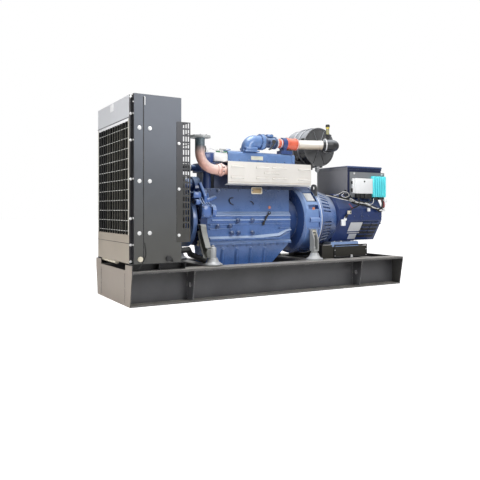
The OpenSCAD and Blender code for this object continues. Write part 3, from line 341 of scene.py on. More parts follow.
# The header, lower pan and stiles are painted pale as the light they catch from the radiator's end.
dress(coated("header_sheet", (0.64, 0.65, 0.68), rough=0.32, mottle=0.04, edge=0.2, side_face_lighting=shade_black),
      "header_panel")
dress(coated("lower_sheet", (0.40, 0.345, 0.28), rough=0.36, mottle=0.05, edge=0.25, side_face_lighting=shade_black),
      "lower_panel")
dress(coated("stile_sheet", (0.62, 0.6, 0.53), rough=0.3, mottle=0.05, edge=0.2, side_face_lighting=shade_black),
      "front_stiles")
bare_steel = coated("bright_steel", (0.9, 0.9, 0.9), rough=0.3, mottle=0.04, metallic=0.35)
dress(bare_steel, "filler_cap")

up = (0, 0, 1)
near = (0, -1, 0)
forward = (-1, 0, 0)
rearward = (1, 0, 0)


def lathe(mesh, origin, axis, profile, around=24):
    """Turns (reach along the axis, radius) points round the axis; a radius of 0 closes an end."""
    turn = Vector(axis).to_track_quat("Z", "Y")
    rings = []
    for along, radius in profile:
        spots = ring(radius, 0, 360 / around, around) if radius else [(0, 0)]
        rings.append([mesh.verts.new(Vector(origin) + turn @ Vector((*spot, along))) for spot in spots])
    for low, high in zip(rings, rings[1:]):
        for k in range(around):
            j = (k + 1) % around
            corners = (low[k % len(low)], low[j % len(low)], high[j % len(high)], high[k % len(high)])
            corners = list(dict.fromkeys(corners))
            if len(corners) > 2:
                mesh.faces.new(corners)


def peg(mesh, seat, out, steps, around=24):
    """Turned solid on a seat, through (height, radius) steps, flat at both ends."""
    lathe(mesh, seat, out, [(steps[0][0], 0), *steps, (steps[-1][0], 0)], around)


def bolt(mesh, seat, out, r):
    """Hexagon head on a washer of radius r."""
    peg(mesh, seat, out, [(0, r), (r * 0.18, r), (r * 0.25, r * 0.92)], 16)
    peg(mesh, seat, out, [(r * 0.25, r * 0.72), (r * 0.72, r * 0.72), (r * 0.8, r * 0.62)], 6)


def bolts(mesh, xs, ys, zs, out, r):
    """A bolt at each crossing of rows of places."""
    for seat in product(xs, ys, zs):
        bolt(mesh, seat, out, r)


frame_bolts = bmesh.new()
side_bolts = bmesh.new()
for side in (-1, 1):
    out = (0, side, 0)
    bolts(frame_bolts, [-1487], [side * 435], (1697, 1561, 1348, 1034, 716, 504, 370), out, 12)
    bolts(frame_bolts, [-1473], [side * 462], (1654, 1561, 1349, 1037, 721, 505), forward, 8)
    bolts(side_bolts, (-1428, -1340), [side * 475.5], (598.4, 1018.7, 1447.2), out, 17)
    bolts(side_bolts, [-1083], [side * 478.5], (576, 960, 1339), out, 13)
piece("frame_bolts", frame_bolts, bare_steel, "bare_metal")
piece("side_bolts", side_bolts, bare_steel, "bare_metal", "radiator_bolts")


# Front guard and core: zinc rods are welded across black flat bars, and stand in front of the core.
# The core is thin folded metal fins, stained in patches, with dark lines painted between them as the shade in their
# gaps; only faces that look -X show the fins as painted light, and all other faces are painted near black as shade.
def slab(mesh, low, high, bevel=0.0):
    """Box between two corners with rounded edges."""
    made = bmesh.ops.create_cube(mesh, size=1.0)["verts"]
    middle = (Vector(low) + Vector(high)) / 2
    size = Vector(high) - Vector(low)
    for corner in made:
        corner.co = middle + Vector([c * w for c, w in zip(corner.co, size)])
    if bevel:
        edges = list({edge for corner in made for edge in corner.link_edges})
        bmesh.ops.bevel(mesh, geom=edges, offset=bevel, segments=2, profile=0.5, affect="EDGES")


rods = bmesh.new()
for k in range(11):
    tube(rods, [(-1492, -412, 1455 - 84 * k), (-1492, 412, 1455 - 84 * k)], 2.8, around=8, step=200)
rod_zinc = coated("rod_zinc", (0.68, 0.68, 0.65), rough=0.35, mottle=0.15, metallic=0.1)
piece("guard_rods", rods, rod_zinc, "guard_wire", "front_guard")
bars = bmesh.new()
for k in range(1, 12):
    slab(bars, (-1497.5, -415 + 68.5 * k, 584), (-1486.5, -407 + 68.5 * k, 1526), 1)
bar_black = coated("bar_black", (0.012, 0.012, 0.012), mottle=0.2)
piece("guard_bars", bars, bar_black, "guard_wire", "front_guard")

fins, sockets, place = new_material("core_fins")
# Fin lines: dark bands painted between the fins as the shade in their gaps.
lines = place.axis("Z") * 2600.0
lines = lines.math("SINE", lines) * 0.5 + 0.5
stain = place.noise(3.0, 3.0).step(0.3, 0.7)
# Painted light and shade: faces that look -X show the fins, all others are near black.
lit = (place.node("NewGeometry", out="Normal").axis("X") * -1.0).step(0.2, 0.8)
fin = lines.pick((0.13, 0.125, 0.1), stain.pick((0.26, 0.25, 0.2), (0.34, 0.325, 0.26)))
lit.pick((0.006, 0.006, 0.005), fin).feed(sockets["Base Color"])
(0.35 + lines * 0.25).feed(sockets["Roughness"])
sockets["Metallic"].default_value = 0.3
dress(fins, "radiator_core")


# Trim of the radiator: a bright folded lip over the guard, a blank plate on the header, beads at the head of the
# side joints painted white as their highlight, and black strips that stand for the shade in those joints and in two
# gaps across the front. A drain cap, valve, hose and pipe are screwed in below.
black_rubber = coated("black_rubber", (0.02, 0.02, 0.021), rough=0.42, mottle=0.2, grain=0.1)
cream = coated("cream_moulding", (0.8, 0.74, 0.6), rough=0.35, mottle=0.06)
lip_sheet = coated("lip_sheet", (0.96, 0.96, 0.98), rough=0.3, mottle=0.04)
lips = bmesh.new()
slab(lips, (-1500, -411, 1506), (-1488, 411, 1524.7), 1.5)
slab(lips, (-1501.6, -33, 1641), (-1499.6, 61, 1704), 0.8)
# Beads painted white as the highlight along their tops.
for side in (-1, 1):
    tube(lips, [(-1381, side * 475, 1632 + 16 * k) for k in range(5)] + [(-1388, side * 474.6, 1703)], 4)
piece("header_lip", lips, lip_sheet, "radiator_paint")
# Black strips standing for the shade in the side joints and the gaps across the front.
joint_shade = bmesh.new()
for side in (-1, 1):
    slab(joint_shade, (-1397, side * 474.5 - 1, 366), (-1384, side * 474.5 + 1, 1696), 0.6)
for low, high in ((1529, 1535), (513, 517)):
    slab(joint_shade, (-1500.8, -448, low), (-1499.4, 448, high), 0.5)
piece("joint_shade_strips", joint_shade, black_rubber, "rubber_black")
drain_cap = bmesh.new()
peg(drain_cap, (-1419, -476, 388), near, [(0, 22), (4, 22), (5, 17), (14, 17), (16, 14)])
piece("drain_cap", drain_cap, cream, "bare_metal")
spout = bmesh.new()
peg(spout, (-1178, -476, 385), near, [(0, 24), (5, 24), (6, 18), (12, 18), (13, 22), (20, 22), (21, 15)])
tube(spout, [(-1178, -488, 385), (-1150, -490, 382), (-1142, -484, 360)], 8)
tube(spout, [(-1384, -477, 520), (-1378, -478, 470), (-1374, -479, 430), (-1386, -481, 390), (-1412, -484, 345),
             (-1444, -487, 305), (-1470, -486, 268)], 3, around=6)
piece("drain_spout", spout, black_rubber, "rubber_black")
drain = bmesh.new()
lathe(drain, (-1462, 455, 333), near, [(0, 0), (0, 15), (452, 15), (454, 18), (468, 18), (470, 0)], 20)
piece("drain_pipe", drain, cream, "bare_metal")


# Fan, belt drive, crankshaft damper and coolant hoses at the front of the engine. The fan is moulded black, belt
# and hoses are rubber under bright band clamps, and the pulleys are in the engine's blue, with the timing case and
# fan drive painted darker as the shade at the engine's front and painted highlights on upper edges.
# Painted highlight colours for the blue enamels' upper and rubbed edges.
highlight_blue = (0.42, 0.55, 0.78)
edge_highlight_blue = (0.34, 0.47, 0.72)
iron_skin = {"coat": 0.5, "bump": 0.25, "grain_scale": 120.0, "radius": 0.007}
# Painted shade: the timing case and fan drive are darker than the block.
shaded_case_blue = coated("case_enamel", (0.026, 0.062, 0.2), rough=0.26, mottle=0.12, edge=0.5, edge_wear_and_highlight_tone=edge_highlight_blue,
                   top_highlight=0.65, top_highlight_tone=highlight_blue, end_face_lighting=(0.018, 0.04, 0.15), **iron_skin)
dress(shaded_case_blue, "timing_case", "fan_drive")
dress(coated("damper_enamel", (0.12, 0.21, 0.47), rough=0.25, mottle=0.08, coat=0.6, edge=0.4, radius=0.006,
             edge_wear_and_highlight_tone=(0.5, 0.6, 0.8), top_highlight=0.5, top_highlight_tone=highlight_blue), "crank_damper")
dress(coated("fan_moulding", (0.02, 0.021, 0.023), rough=0.45, mottle=0.12), "fan")
dress(black_rubber, "fan_belt", "coolant_hoses")


def band(mesh, centre, axis, r):
    """Hose clamp: a thin band with its screw housing on top."""
    lathe(mesh, centre, axis, [(-5.5, r - 4), (-5.5, r + 1.5), (5.5, r + 1.5), (5.5, r - 4), (-5.5, r - 4)], 28)
    x, y, z = centre
    slab(mesh, (x - 9, y - 8, z + r - 1), (x + 9, y + 8, z + r + 8), 2)


clamps = bmesh.new()
band(clamps, (-1098, 150, 1601), rearward, 37)
band(clamps, (-760, 20, 1182), rearward, 37)
piece("hose_clamps", clamps, bare_steel, "bare_metal")


# Cylinder block and oil pan: iron castings in thick blue enamel, with small bolts along their joints, painted
# darker towards the top as shade under the heat shield and bluer in the pan. Cast ledges run along the walls, and
# arches are pressed into the pan; both are painted a paler blue, with painted highlights on their upper faces.
# Painted shade: darker towards the top, under the heat shield.
engine_blue = coated("engine_enamel", (0.05, 0.085, 0.19), rough=0.28, mottle=0.12, mottle_scale=3.0,
                     edge=0.45, edge_wear_and_highlight_tone=edge_highlight_blue, top_highlight=0.75, top_highlight_tone=highlight_blue, **iron_skin,
                     fades=(("Z", 0.72, 0.96, (0.1, 0.2, 0.48)), ("Z", 0.24, 0.47, (0.12, 0.27, 0.72))))
dress(engine_blue, "cylinder_block", "oil_pan", "throttle_body")


def ledge(mesh, side, out, *route):
    """Cast moulding on the block's wall: it slopes from (x, top) out to its edge, and back in under it."""
    root = out - 28
    loft(mesh, [[(x, side * y, z) for y, z in ((root, top), (out, edge), (out, edge - 3), (root, edge - 9))]
                for x, top, edge in route])


def pan_wall(z):
    """How far out the pan's leaning wall is at a height."""
    return 180 + (z - 265) * 25 / 195


crank_z = 690
fittings = bmesh.new()
mouldings = bmesh.new()
for side in (-1, 1):
    out = (0, side, 0)
    bolts(fittings, range(-660, 217, 73), [side * 232], [470], out, 8)
    bolts(fittings, range(-610, 161, 70), [side * 204], [446], out, 6)
    bolts(fittings, [-705], [side * 226], (500, 560, 740, 870, 930), out, 9)
    bolts(fittings, range(-640, 111, 150), [side * 192], [972], out, 8)
    for y, z in ring(338, -75, 15, 10):
        bolt(fittings, (505, side * y, crank_z + z), forward, 9)
    bolts(fittings, (-760, -690), [side * 300], (728, 830), out, 7)
    ledge(mouldings, side, 229, (-640, 750, 730), (234, 750, 730))
    ledge(mouldings, side, 232, (-640, 706, 688), (234, 706, 688))
    ledge(mouldings, side, 226, (-413, 654, 647), (190, 654, 647))
    ledge(mouldings, side, 226, (98, 617, 610), (236, 617, 610))
    ledge(mouldings, side, 238, (-668, 546, 516), (-183, 546, 516), (94, 564, 536), (180, 598, 578),
          (236, 606, 590))
    ledge(mouldings, side, 238, (-650, 481, 473), (200, 479, 471))
    tube(mouldings, [(-686, side * 219, 940), (-672, side * 222, 800), (-662, side * 222, 740)], 9, step=30)
    for x in range(-517, -54, 154):
        arch = ((-19, 268), (-19, 412), (-13, 428), (0, 434), (13, 428), (19, 412), (19, 268))
        tube(mouldings, [(x + across, side * pan_wall(z), z) for across, z in arch], 5, around=8, step=12)
bolts(fittings, [-760], (-190, 190), (500, 620, 800, 900, 960), forward, 9)
peg(fittings, (-560, -192, 960), near, [(0, 20), (6, 20), (8, 15), (22, 15), (24, 12)], 20)
piece("block_fittings", fittings, engine_blue, "engine_blue")
# Painted highlight: the ledges and arches are a paler blue, palest on upper faces.
piece("block_mouldings", mouldings,
      coated("moulding_highlight_enamel", (0.13, 0.25, 0.58), rough=0.24, mottle=0.12, coat=0.6, top_highlight=0.9,
             top_highlight_tone=(0.62, 0.75, 0.93)), "engine_blue")


# Coolant pump: a painted casting bolted to the timing case, with a top cover, ribs down its slope and a lid held by
# four bolts. Its faces that look -X are painted darker as shade, its near face paler and its upper edges pale as
# painted light.
# Painted light and shade: dark front, paler near face, highlights on upper and rubbed edges.
pump_blue = coated("pump_enamel", (0.05, 0.12, 0.36), rough=0.24, mottle=0.15, coat=0.6, edge=0.7, bump=0.25,
                   edge_wear_and_highlight_tone=highlight_blue, grain_scale=120.0, radius=0.006, top_highlight=0.7, top_highlight_tone=(0.5, 0.64, 0.88),
                   end_face_lighting=(0.012, 0.028, 0.11), side_face_lighting=(0.085, 0.18, 0.48))
dress(pump_blue, "coolant_pump")
casting = bmesh.new()
slab(casting, (-846, -258, 890), (-760.5, -130, 948), 16)
slab(casting, (-838, -292, 832), (-782, -196, 880), 18)
slab(casting, (-774, -305, 722), (-688, -300, 822), 5)
for x in range(-772, -699, 24):
    tube(casting, [(x, -300, 834), (x - 4, -272, 858), (x - 8, -240, 898)], 7, step=12)
bolts(casting, (-830, -776), (-240, -160), [948], up, 10)
bolts(casting, (-764, -698), [-305], (732, 812), near, 7)
piece("pump_castings", casting, pump_blue, "engine_blue")


# Near side of the block: small black hooks, a black lever on its hexagon, screwed plugs in the timing case's darker
# blue as painted shade round them, two orange plastic ones, and a blank cast plate, riveted on, whose cream rim
# stands around a tan field.
lever = bmesh.new()
tube(lever, [(-404, -196, 898), (-430, -198, 897), (-447, -200, 880), (-436, -199, 851), (-402, -196, 832)], 4.5,
     around=8)
tube(lever, [(-214, -198, 868), (-190, -200, 858), (-182, -197, 836)], 4, around=8)
tube(lever, [(-42, -229, 738), (-62, -229, 702), (-88, -228, 656)], 9)
peg(lever, (-90, -212, 652), near, [(0, 15), (22, 15), (25, 12)], 6)
piece("block_levers", lever, black_rubber, "engine_black")
plug_heads = bmesh.new()
for x, z in ((-372, 687), (-213, 687), (-584, 638), (-453, 638), (-437, 571), (-366, 571), (-213, 571)):
    peg(plug_heads, (x, -232, z), near, [(0, 22), (5, 22), (8, 18)], 20)
    bolt(plug_heads, (x, -239, z), near, 11)
piece("block_plugs", plug_heads, shaded_case_blue, "engine_blue")
plugs = bmesh.new()
for seat in ((3, -192, 810), (436, -330, 801)):
    peg(plugs, seat, near, [(0, 14), (7, 14), (9, 11)], 20)
piece("orange_plugs", plugs, coated("orange_plastic", (0.72, 0.27, 0.16), mottle=0.15), "hose_red")


def tablet(mesh, low, high, r):
    """Thin plate on the near side with corners of radius r, and its edge eased in at the front."""
    left, right, foot, top = low[0] + r, high[0] - r, low[2] + r, high[2] - r
    corners = []
    for x, z, start in ((right, top, 0), (left, top, 90), (left, foot, 180), (right, foot, 270)):
        corners += [(x + a, z + b) for a, b in ring(r, start, 22.5, 5)]
    ease = 0.8
    middle_x, middle_z = (low[0] + high[0]) / 2, (low[2] + high[2]) / 2
    rings = []
    for y, pull in ((low[1], 0.0), (high[1] + ease, 0.0), (high[1], ease)):
        shrink = 1 - pull / (high[2] - low[2]) * 2
        rings.append([(middle_x + (x - middle_x) * shrink, y, middle_z + (z - middle_z) * shrink)
                      for x, z in corners])
    loft(mesh, rings)


rim = bmesh.new()
tablet(rim, (-203, -192, 938), (-80, -195, 1004), 14)
piece("cast_plate_rim", rim, cream, "bare_metal")
field = bmesh.new()
tablet(field, (-193, -194.8, 948), (-90, -196.4, 994), 7)
cast_tan = coated("cast_tan", (0.46, 0.33, 0.18), rough=0.5, mottle=0.12, bump=0.5, grain_scale=260.0)
piece("cast_plate_field", field, cast_tan, "bare_metal")


# Mounts: forged arms of I section from the timing case, each on a post over a rubber bell, and ribbed brackets at
# the flywheel housing. Grey enamel, with edges rubbed pale and painted highlights along the flanges and upper
# edges, and the arms' faces that look -X painted darker as shade; the bells are pressed steel with painted
# highlights on top.
dress(coated("mount_enamel", (0.36, 0.37, 0.365), rough=0.3, dust_and_top_light=0.2, edge=0.5,
             edge_wear_and_highlight_tone=(0.75, 0.75, 0.73), radius=0.006, top_highlight=0.6, top_highlight_tone=(0.85, 0.86, 0.86)), "rear_mounts")


def flange(mesh, route, side, x_low, x_high, thick):
    """Flat strip that follows (y, z) points, as wide as from x_low to x_high."""
    spots = [Vector((0, side * y, z)) for y, z in route]
    rings = []
    for i, here in enumerate(spots):
        onward = (spots[min(i + 1, len(spots) - 1)] - spots[max(i - 1, 0)]).normalized()
        across = onward.cross(Vector((1, 0, 0))) * thick / 2
        rings.append([here + shift + Vector((x, 0, 0)) for x, shift in
                      ((x_low, across), (x_high, across), (x_high, -across), (x_low, -across))])
    loft(mesh, rings)


arms = bmesh.new()
outer = [(-229, 654), (-292, 652), (-304, 640), (-309, 612), (-318, 588), (-340, 545), (-372, 495), (-398, 452)]
inner = [(-231, 596), (-240, 560), (-262, 500), (-296, 440), (-330, 392), (-352, 360)]
for side in (-1, 1):
    flange(arms, outer, side, -795, -743, 9)
    flange(arms, inner, side, -792, -745, 8)
    loft(arms, [[(x, side * y, z) for y, z in outer + inner[::-1]] for x in (-778, -768)])
    slab(arms, (-772, side * 366 - 14, 366), (-728, side * 366 + 14, 440), 6)
# Painted shade on the arms' faces that look -X, painted highlights on their flanges.
arm_coat = coated("arm_enamel", (0.17, 0.175, 0.165), rough=0.28, edge=0.8,
                  edge_wear_and_highlight_tone=(0.75, 0.76, 0.74), radius=0.006, top_highlight=0.7, top_highlight_tone=(0.7, 0.71, 0.69),
                  end_face_lighting=(0.07, 0.07, 0.06))
piece("front_arms", arms, arm_coat, "mount_grey", "front_mounts")
bells = bmesh.new()
post = [(0, 32), (96, 32), (103, 29), (105, 24)]
dome = [(0, 84), (9, 84), (12, 81), (15, 72), (20, 61), (32, 52), (46, 46), (52, 43), (60, 42), (62, 39)]
nut = [(0, 0), (0, 20), (3, 20), (3, 15), (14, 15), (18, 10), (20, 0)]
small_nut = [(0, 11), (2, 11), (2, 8), (9, 8), (10, 6)]
for y in (-365, 365):
    peg(bells, (-708, y, 352), up, post, 28)
    for x, top in ((-705, 456), (422, 404.5)):
        peg(bells, (x, y, 300), up, dome, 40)
        lathe(bells, (x, y, top), up, nut, 6)
        for spread in (-68, 68):
            peg(bells, (x + spread, y, 310), up, small_nut, 6)
# Painted highlight on the bells' upper and rubbed edges.
bell_steel = coated("bell_steel", (0.42, 0.43, 0.44), rough=0.3, mottle=0.08, metallic=0.2, edge=0.4,
                    edge_wear_and_highlight_tone=(0.85, 0.85, 0.85), top_highlight=0.4, top_highlight_tone=(0.9, 0.91, 0.92))
piece("mount_bells", bells, bell_steel, "mount_grey")
mount_bolts = bmesh.new()
for side in (-1, 1):
    for y, z in ((-214, 640), (-212, 590), (-190, 498), (-180, 470)):
        bolt(mount_bolts, (-760, -side * y, z), forward, 15)
    bolts(mount_bolts, (412, 432), [side * 354], (545, 575), (0, side, 0), 10)
piece("mount_bolts", mount_bolts, cream, "bare_metal")


# Flywheel housing and the ring between engine and alternator: cast iron in the engine's blue, painted dark as shade
# at the top under the heat shield, lightest just below it, darker towards the bottom and dark in the recess behind
# the block, with a white ring painted at their joint as its highlight and a black gasket under the inspection
# cover. The ring is painted near black below its middle as shade, and the cover near white as the reflection on its
# bare plate.
# The parts bolted on around it, from the lifting eye to the starter, are in black enamel.
# Painted highlight for edges and joints of the housing, adapter and feet.
joint_highlight = (0.62, 0.7, 0.86)
recess_shade = (0.03, 0.068, 0.21)
dress(coated("housing_enamel", (0.05, 0.095, 0.25), rough=0.26, edge=0.7, edge_wear_and_highlight_tone=joint_highlight,
             top_highlight=0.25, top_highlight_tone=joint_highlight, end_face_lighting=recess_shade, **iron_skin,
             fades=(("Z", 0.94, 1.01, (0.26, 0.41, 0.74)), ("Z", 0.6, 0.9, (0.15, 0.26, 0.56)),
                    ("Z", 0.42, 0.54, recess_shade), ("X", 0.328, 0.336, recess_shade))), "flywheel_housing")
# Painted shade: the adapter ring darkens to near black below its middle.
dress(coated("adapter_enamel", (0.11, 0.2, 0.46), rough=0.26, coat=0.5, edge=0.5,
             edge_wear_and_highlight_tone=joint_highlight, radius=0.006, top_highlight=0.75, top_highlight_tone=(0.7, 0.77, 0.9), bump=0.2,
             fades=(("Z", 0.52, 0.78, (0.012, 0.028, 0.1)),)), "adapter_ring")
dress(coated("eye_forging", (0.09, 0.092, 0.095), rough=0.36, mottle=0.15, edge=0.5), "lifting_eye")
# Painted reflection: the inspection cover's bare plate is near white.
dress(coated("cover_plate", (0.93, 0.95, 0.98), rough=0.22, mottle=0.05, edge=0.5), "inspection_cover")
dress(coated("black_enamel", (0.025, 0.026, 0.03), rough=0.33, mottle=0.2, edge=0.3), "starter_motor",
      "oil_filters", "filter_bracket", "dipstick")
# A white ring painted at the joint of housing and adapter as its highlight.
joint = bmesh.new()
lathe(joint, (530, 0, crank_z), rearward, [(-5, 345), (-5, 353.5), (4, 353.5), (4, 345), (-5, 345)], 120)
piece("joint_highlight_ring", joint, lip_sheet, "bare_metal")
gasket = bmesh.new()
slab(gasket, (390, -60, 324), (499, 60, 330), 2)
cover_lean = Matrix.Translation((0, 0, crank_z)) @ Matrix.Rotation(math.radians(47), 4, "X")
bmesh.ops.transform(gasket, matrix=cover_lean, verts=gasket.verts)
piece("cover_gasket", gasket, black_rubber, "rubber_black")


# Engine top: the head painted dark as the shade under the heat shield and the rocker cover in a lighter coat of the
# engine's blue, its front painted darker as shade, held by a row of bolts along its crown and each side, with a
# filler cap and a blank tag of pale sheet.
# Painted shade on the cover's front, painted highlights on its upper edges.
light_blue = coated("cover_enamel", (0.14, 0.265, 0.56), rough=0.26, mottle_scale=5.0, coat=0.5,
                    edge=0.45, edge_wear_and_highlight_tone=(0.5, 0.62, 0.84), bump=0.2, radius=0.007, top_highlight=0.45,
                    top_highlight_tone=(0.42, 0.56, 0.8), end_face_lighting=(0.09, 0.17, 0.38))
dress(light_blue, "valve_cover", "intake_elbow")
# Painted shade: the head is dark under the heat shield.
dress(coated("head_shade_enamel", (0.03, 0.045, 0.095), mottle=0.15, radius=0.005), "cylinder_head")
dress(coated("shaded_enamel", (0.025, 0.05, 0.15), rough=0.3, mottle=0.15, coat=0.4, radius=0.006, top_highlight=0.5,
             top_highlight_tone=(0.2, 0.3, 0.5)), "thermostat_housing")
cover = bmesh.new()
bolts(cover, range(-400, 291, 115), [0], [1343], up, 11)
for side in (-1, 1):
    bolts(cover, range(-425, 304, 104), [side * 173], [1262], (0, side, 0), 8)
slab(cover, (-452, -176, 1235.5), (-444.5, 176, 1262), 2)
peg(cover, (-330, 60, 1343), up, [(0, 42), (16, 42), (16, 38), (36, 38), (42, 32)])
piece("cover_fittings", cover, light_blue, "engine_blue")
cover_tag = bmesh.new()
tablet(cover_tag, (-194, -173, 1267), (-57, -174.4, 1305), 3)
piece("cover_tag", cover_tag, coated("tag_sheet", (0.86, 0.85, 0.72), rough=0.35, mottle=0.03), "bare_metal")


# Ignition: a white moulded electronics case screwed to the head and a blue junction block beside it,
# with green plugs, grey leads in a flat bundle along the cover, and a black tail.
white_plastic = coated("white_moulding", (0.97, 0.98, 0.99), rough=0.28, mottle=0.02)
electronics = bmesh.new()
slab(electronics, (-600, -186, 1236), (-455, -60, 1313), 8)
slab(electronics, (-596, -182, 1312), (-459, -64, 1320), 3)
for x, y in product((-590, -465), (-176, -70)):
    peg(electronics, (x, y, 1319), up, [(0, 6), (3, 6), (4, 4)], 12)
piece("ignition_case", electronics, white_plastic, "box_white", "ignition_box")
junction = bmesh.new()
slab(junction, (-692, -184, 1222.5), (-608, -70, 1318), 7)
slab(junction, (-696, -187, 1302), (-604, -67, 1311), 3)
# Painted shade on the junction block's sides, painted highlight on its upper edges.
junction_blue = coated("junction_enamel", (0.1, 0.2, 0.5), rough=0.3, mottle=0.12, coat=0.4, top_highlight=0.6,
                       side_face_lighting=(0.035, 0.08, 0.27))
piece("junction_block", junction, junction_blue, "engine_blue")
green = bmesh.new()
for x in (-566, -488):
    slab(green, (x, -176, 1320), (x + 34, -150, 1334), 3)
piece("green_plugs", green, coated("green_plastic", (0.05, 0.2, 0.1)), "box_white")
leads = bmesh.new()
for k in range(4):
    shift = 13 * k
    tube(leads, [(-549 + 6 * k, -160 + 5 * k, 1330), (-530 + 5 * k, -150 + shift, 1356), (-455, -140 + shift, 1356),
                 (-380, -120 + shift, 1350), (-285, -128 + shift, 1351)], 5.5, around=8)
tube(leads, [(-640, -120, 1316), (-628, -118, 1346), (-600, -112, 1358), (-540, -104, 1352),
             (-471, -150, 1332)], 6, around=8)
piece("ignition_leads", leads, coated("lead_grey", (0.8, 0.8, 0.79)), "loom_black")
tail = bmesh.new()
tube(tail, [(-668, -140, 1316), (-664, -142, 1350), (-678, -150, 1376)], 6, around=8)
piece("ignition_tails", tail, black_rubber, "loom_black")


# Intake: cast blue elbow, throttle and mixer joined by red silicone couplings and an aluminium pipe.
# Band clamps hold the couplings, bolts the flanges; the throttle has a black lever.
dress(coated("mixer_enamel", (0.03, 0.07, 0.24), rough=0.28, mottle=0.15, coat=0.5, edge=0.6, top_highlight=0.2,
             edge_wear_and_highlight_tone=(0.3, 0.42, 0.7), top_highlight_tone=(0.3, 0.42, 0.7)), "gas_mixer")
dress(coated("red_silicone", (0.86, 0.16, 0.085), rough=0.28, mottle=0.12, coat=0.6, top_highlight=0.35,
             top_highlight_tone=(0.98, 0.66, 0.56)), "intake_couplings")
dress(coated("drawn_aluminium", (0.95, 0.92, 0.86), rough=0.22, mottle=0.05, metallic=0.4, top_highlight=0.6,
             top_highlight_tone=(1.0, 0.99, 0.97), fades=(("Z", 1.41, 1.46, (0.62, 0.52, 0.4)),)), "air_pipe")
intake_y, intake_z = -130, 1450
train = bmesh.new()
for x, r in ((127, 46), (172, 46), (250, 60), (356, 60)):
    band(train, (x, intake_y, intake_z), rearward, r)
band(train, (656, -244, intake_z), (0.93, -0.368, 0), 58)
band(train, (785, -95, intake_z), (0, 1, 0), 58)
piece("intake_clamps", train, bare_steel, "bare_metal")
joints = bmesh.new()
for x, r, out, size in ((-75, 69, forward, 7), (-18, 61, rearward, 6)):
    for y, z in ring(r, 30, 60, 6):
        bolt(joints, (x, intake_y + y, intake_z + z), out, size)
bolts(joints, (-268, -152), (-162, -52), [1357], up, 8)
slab(joints, (-5, -168, 1500), (70, -92, 1528), 6)
slab(joints, (-276, -204, 1343.5), (-112, -56, 1357), 5)
slab(joints, (-262, -196, 1355), (-124, -64, 1392), 14)
peg(joints, (-30, -130, 1500), up, [(0, 16), (28, 16), (30, 12)], 16)
piece("intake_fittings", joints, light_blue, "engine_blue")
arm = bmesh.new()
tube(arm, [(60, -216, 1460), (40, -218, 1430), (6, -217, 1385), (-16, -214, 1372)], 8)
peg(arm, (40, -208, 1450), near, [(0, 20), (10, 20), (12, 16)], 18)
tube(arm, [(120, -90, 1500), (90, -110, 1535), (60, -125, 1527)], 5, around=8)
piece("throttle_arm", arm, black_rubber, "engine_black")


# Exhaust: manifold and elbow of cast steel that heat has coloured, grey at the flange and copper pink below, with a
# near-white painted highlight on the pink's upper faces.
# Dull bolts ring the flange, and a two-part clamp with studs joins the elbow to the manifold.
steel, sockets, place = new_material("heat_tinted_steel")
height = place.axis("Z")
cloud = place.noise(9.0, 4.0)
patch = cloud.step(0.3, 0.7)
pink = patch.pick((0.88, 0.46, 0.37), (0.96, 0.6, 0.5))
# Painted highlight: upper faces of the pink steel turn near white.
top_highlight_mask = place.node("Bevel", {"Radius": 0.004}, samples=4).axis("Z").step(-0.5, 0.7) * 0.85
pink = top_highlight_mask.pick(pink, (1.0, 0.88, 0.84))
grey = patch.pick((0.1, 0.15, 0.18), (0.2, 0.26, 0.29))
grey = height.step(1.425, 1.432).pick(grey, (0.55, 0.57, 0.57))
cooler = (height + (cloud - 0.5) * 0.08).step(1.28, 1.37)
cooler.pick(pink, grey).feed(sockets["Base Color"])
(0.28 + (cloud - 0.5) * 0.2).feed(sockets["Roughness"])
sockets["Metallic"].default_value = 0.08
dress(steel, "exhaust_pipe", "exhaust_manifold")
flange_bolts = bmesh.new()
for x, y in ring(76, 22.5, 45, 8):
    bolt(flange_bolts, (-784 + x, -262 + y, 1448), up, 9)
dull_steel = coated("dull_steel", (0.34, 0.36, 0.37), mottle=0.15, metallic=0.5)
piece("exhaust_bolts", flange_bolts, dull_steel, "hot_steel")
clamp = bmesh.new()
lathe(clamp, (-574, -262, 1153), rearward, [(-9, 44), (-9, 56), (-5, 60), (5, 60), (9, 56), (9, 44)], 36)
for y, z in ((-322, 1172), (-322, 1134), (-224, 1200)):
    slab(clamp, (-586, y - 6, z - 8), (-562, y + 6, z + 8), 2)
piece("exhaust_clamp", clamp, steel, "hot_steel")
studs = bmesh.new()
bolts(studs, [-574], [-328], (1172, 1134), near, 7)
dark_steel = coated("dark_bolt", (0.12, 0.09, 0.08), mottle=0.2, metallic=0.4)
piece("clamp_studs", studs, dark_steel, "hot_steel")


# Heat shield: bright stainless sheet folded over the manifold and bolted along its top. Hooded louvres are pressed
# out of it, painted whiter than the sheet as their highlight, each with a painted shadow for its slot above, and a
# fold runs along its foot, drawn as a line of the same painted shadow.
dress(coated("shield_sheet", (0.88, 0.845, 0.795), rough=0.34, mottle=0.03, metallic=0.15, edge=0.2,
             edge_wear_and_highlight_tone=(0.95, 0.93, 0.9), bump=0.3, grain_scale=60.0), "heat_shield")
slots = bmesh.new()
hoods = bmesh.new()
for x, z in [*product((-497, -229, -44, 255), (1183, 1083)), (-140, 1133)]:
    slab(slots, (x + 2, -320.8, z + 10), (x + 138, -319.9, z + 12.5))
    tube(hoods, [(x + 6, -318, z), (x + 70, -319, z), (x + 134, -318, z)], 11, step=20)
slab(slots, (-527, -321, 1041), (410, -319.9, 1045))
piece("shield_slots", slots, coated("slot_shadow", (0.66, 0.58, 0.48), rough=0.6), "shield_sheet")
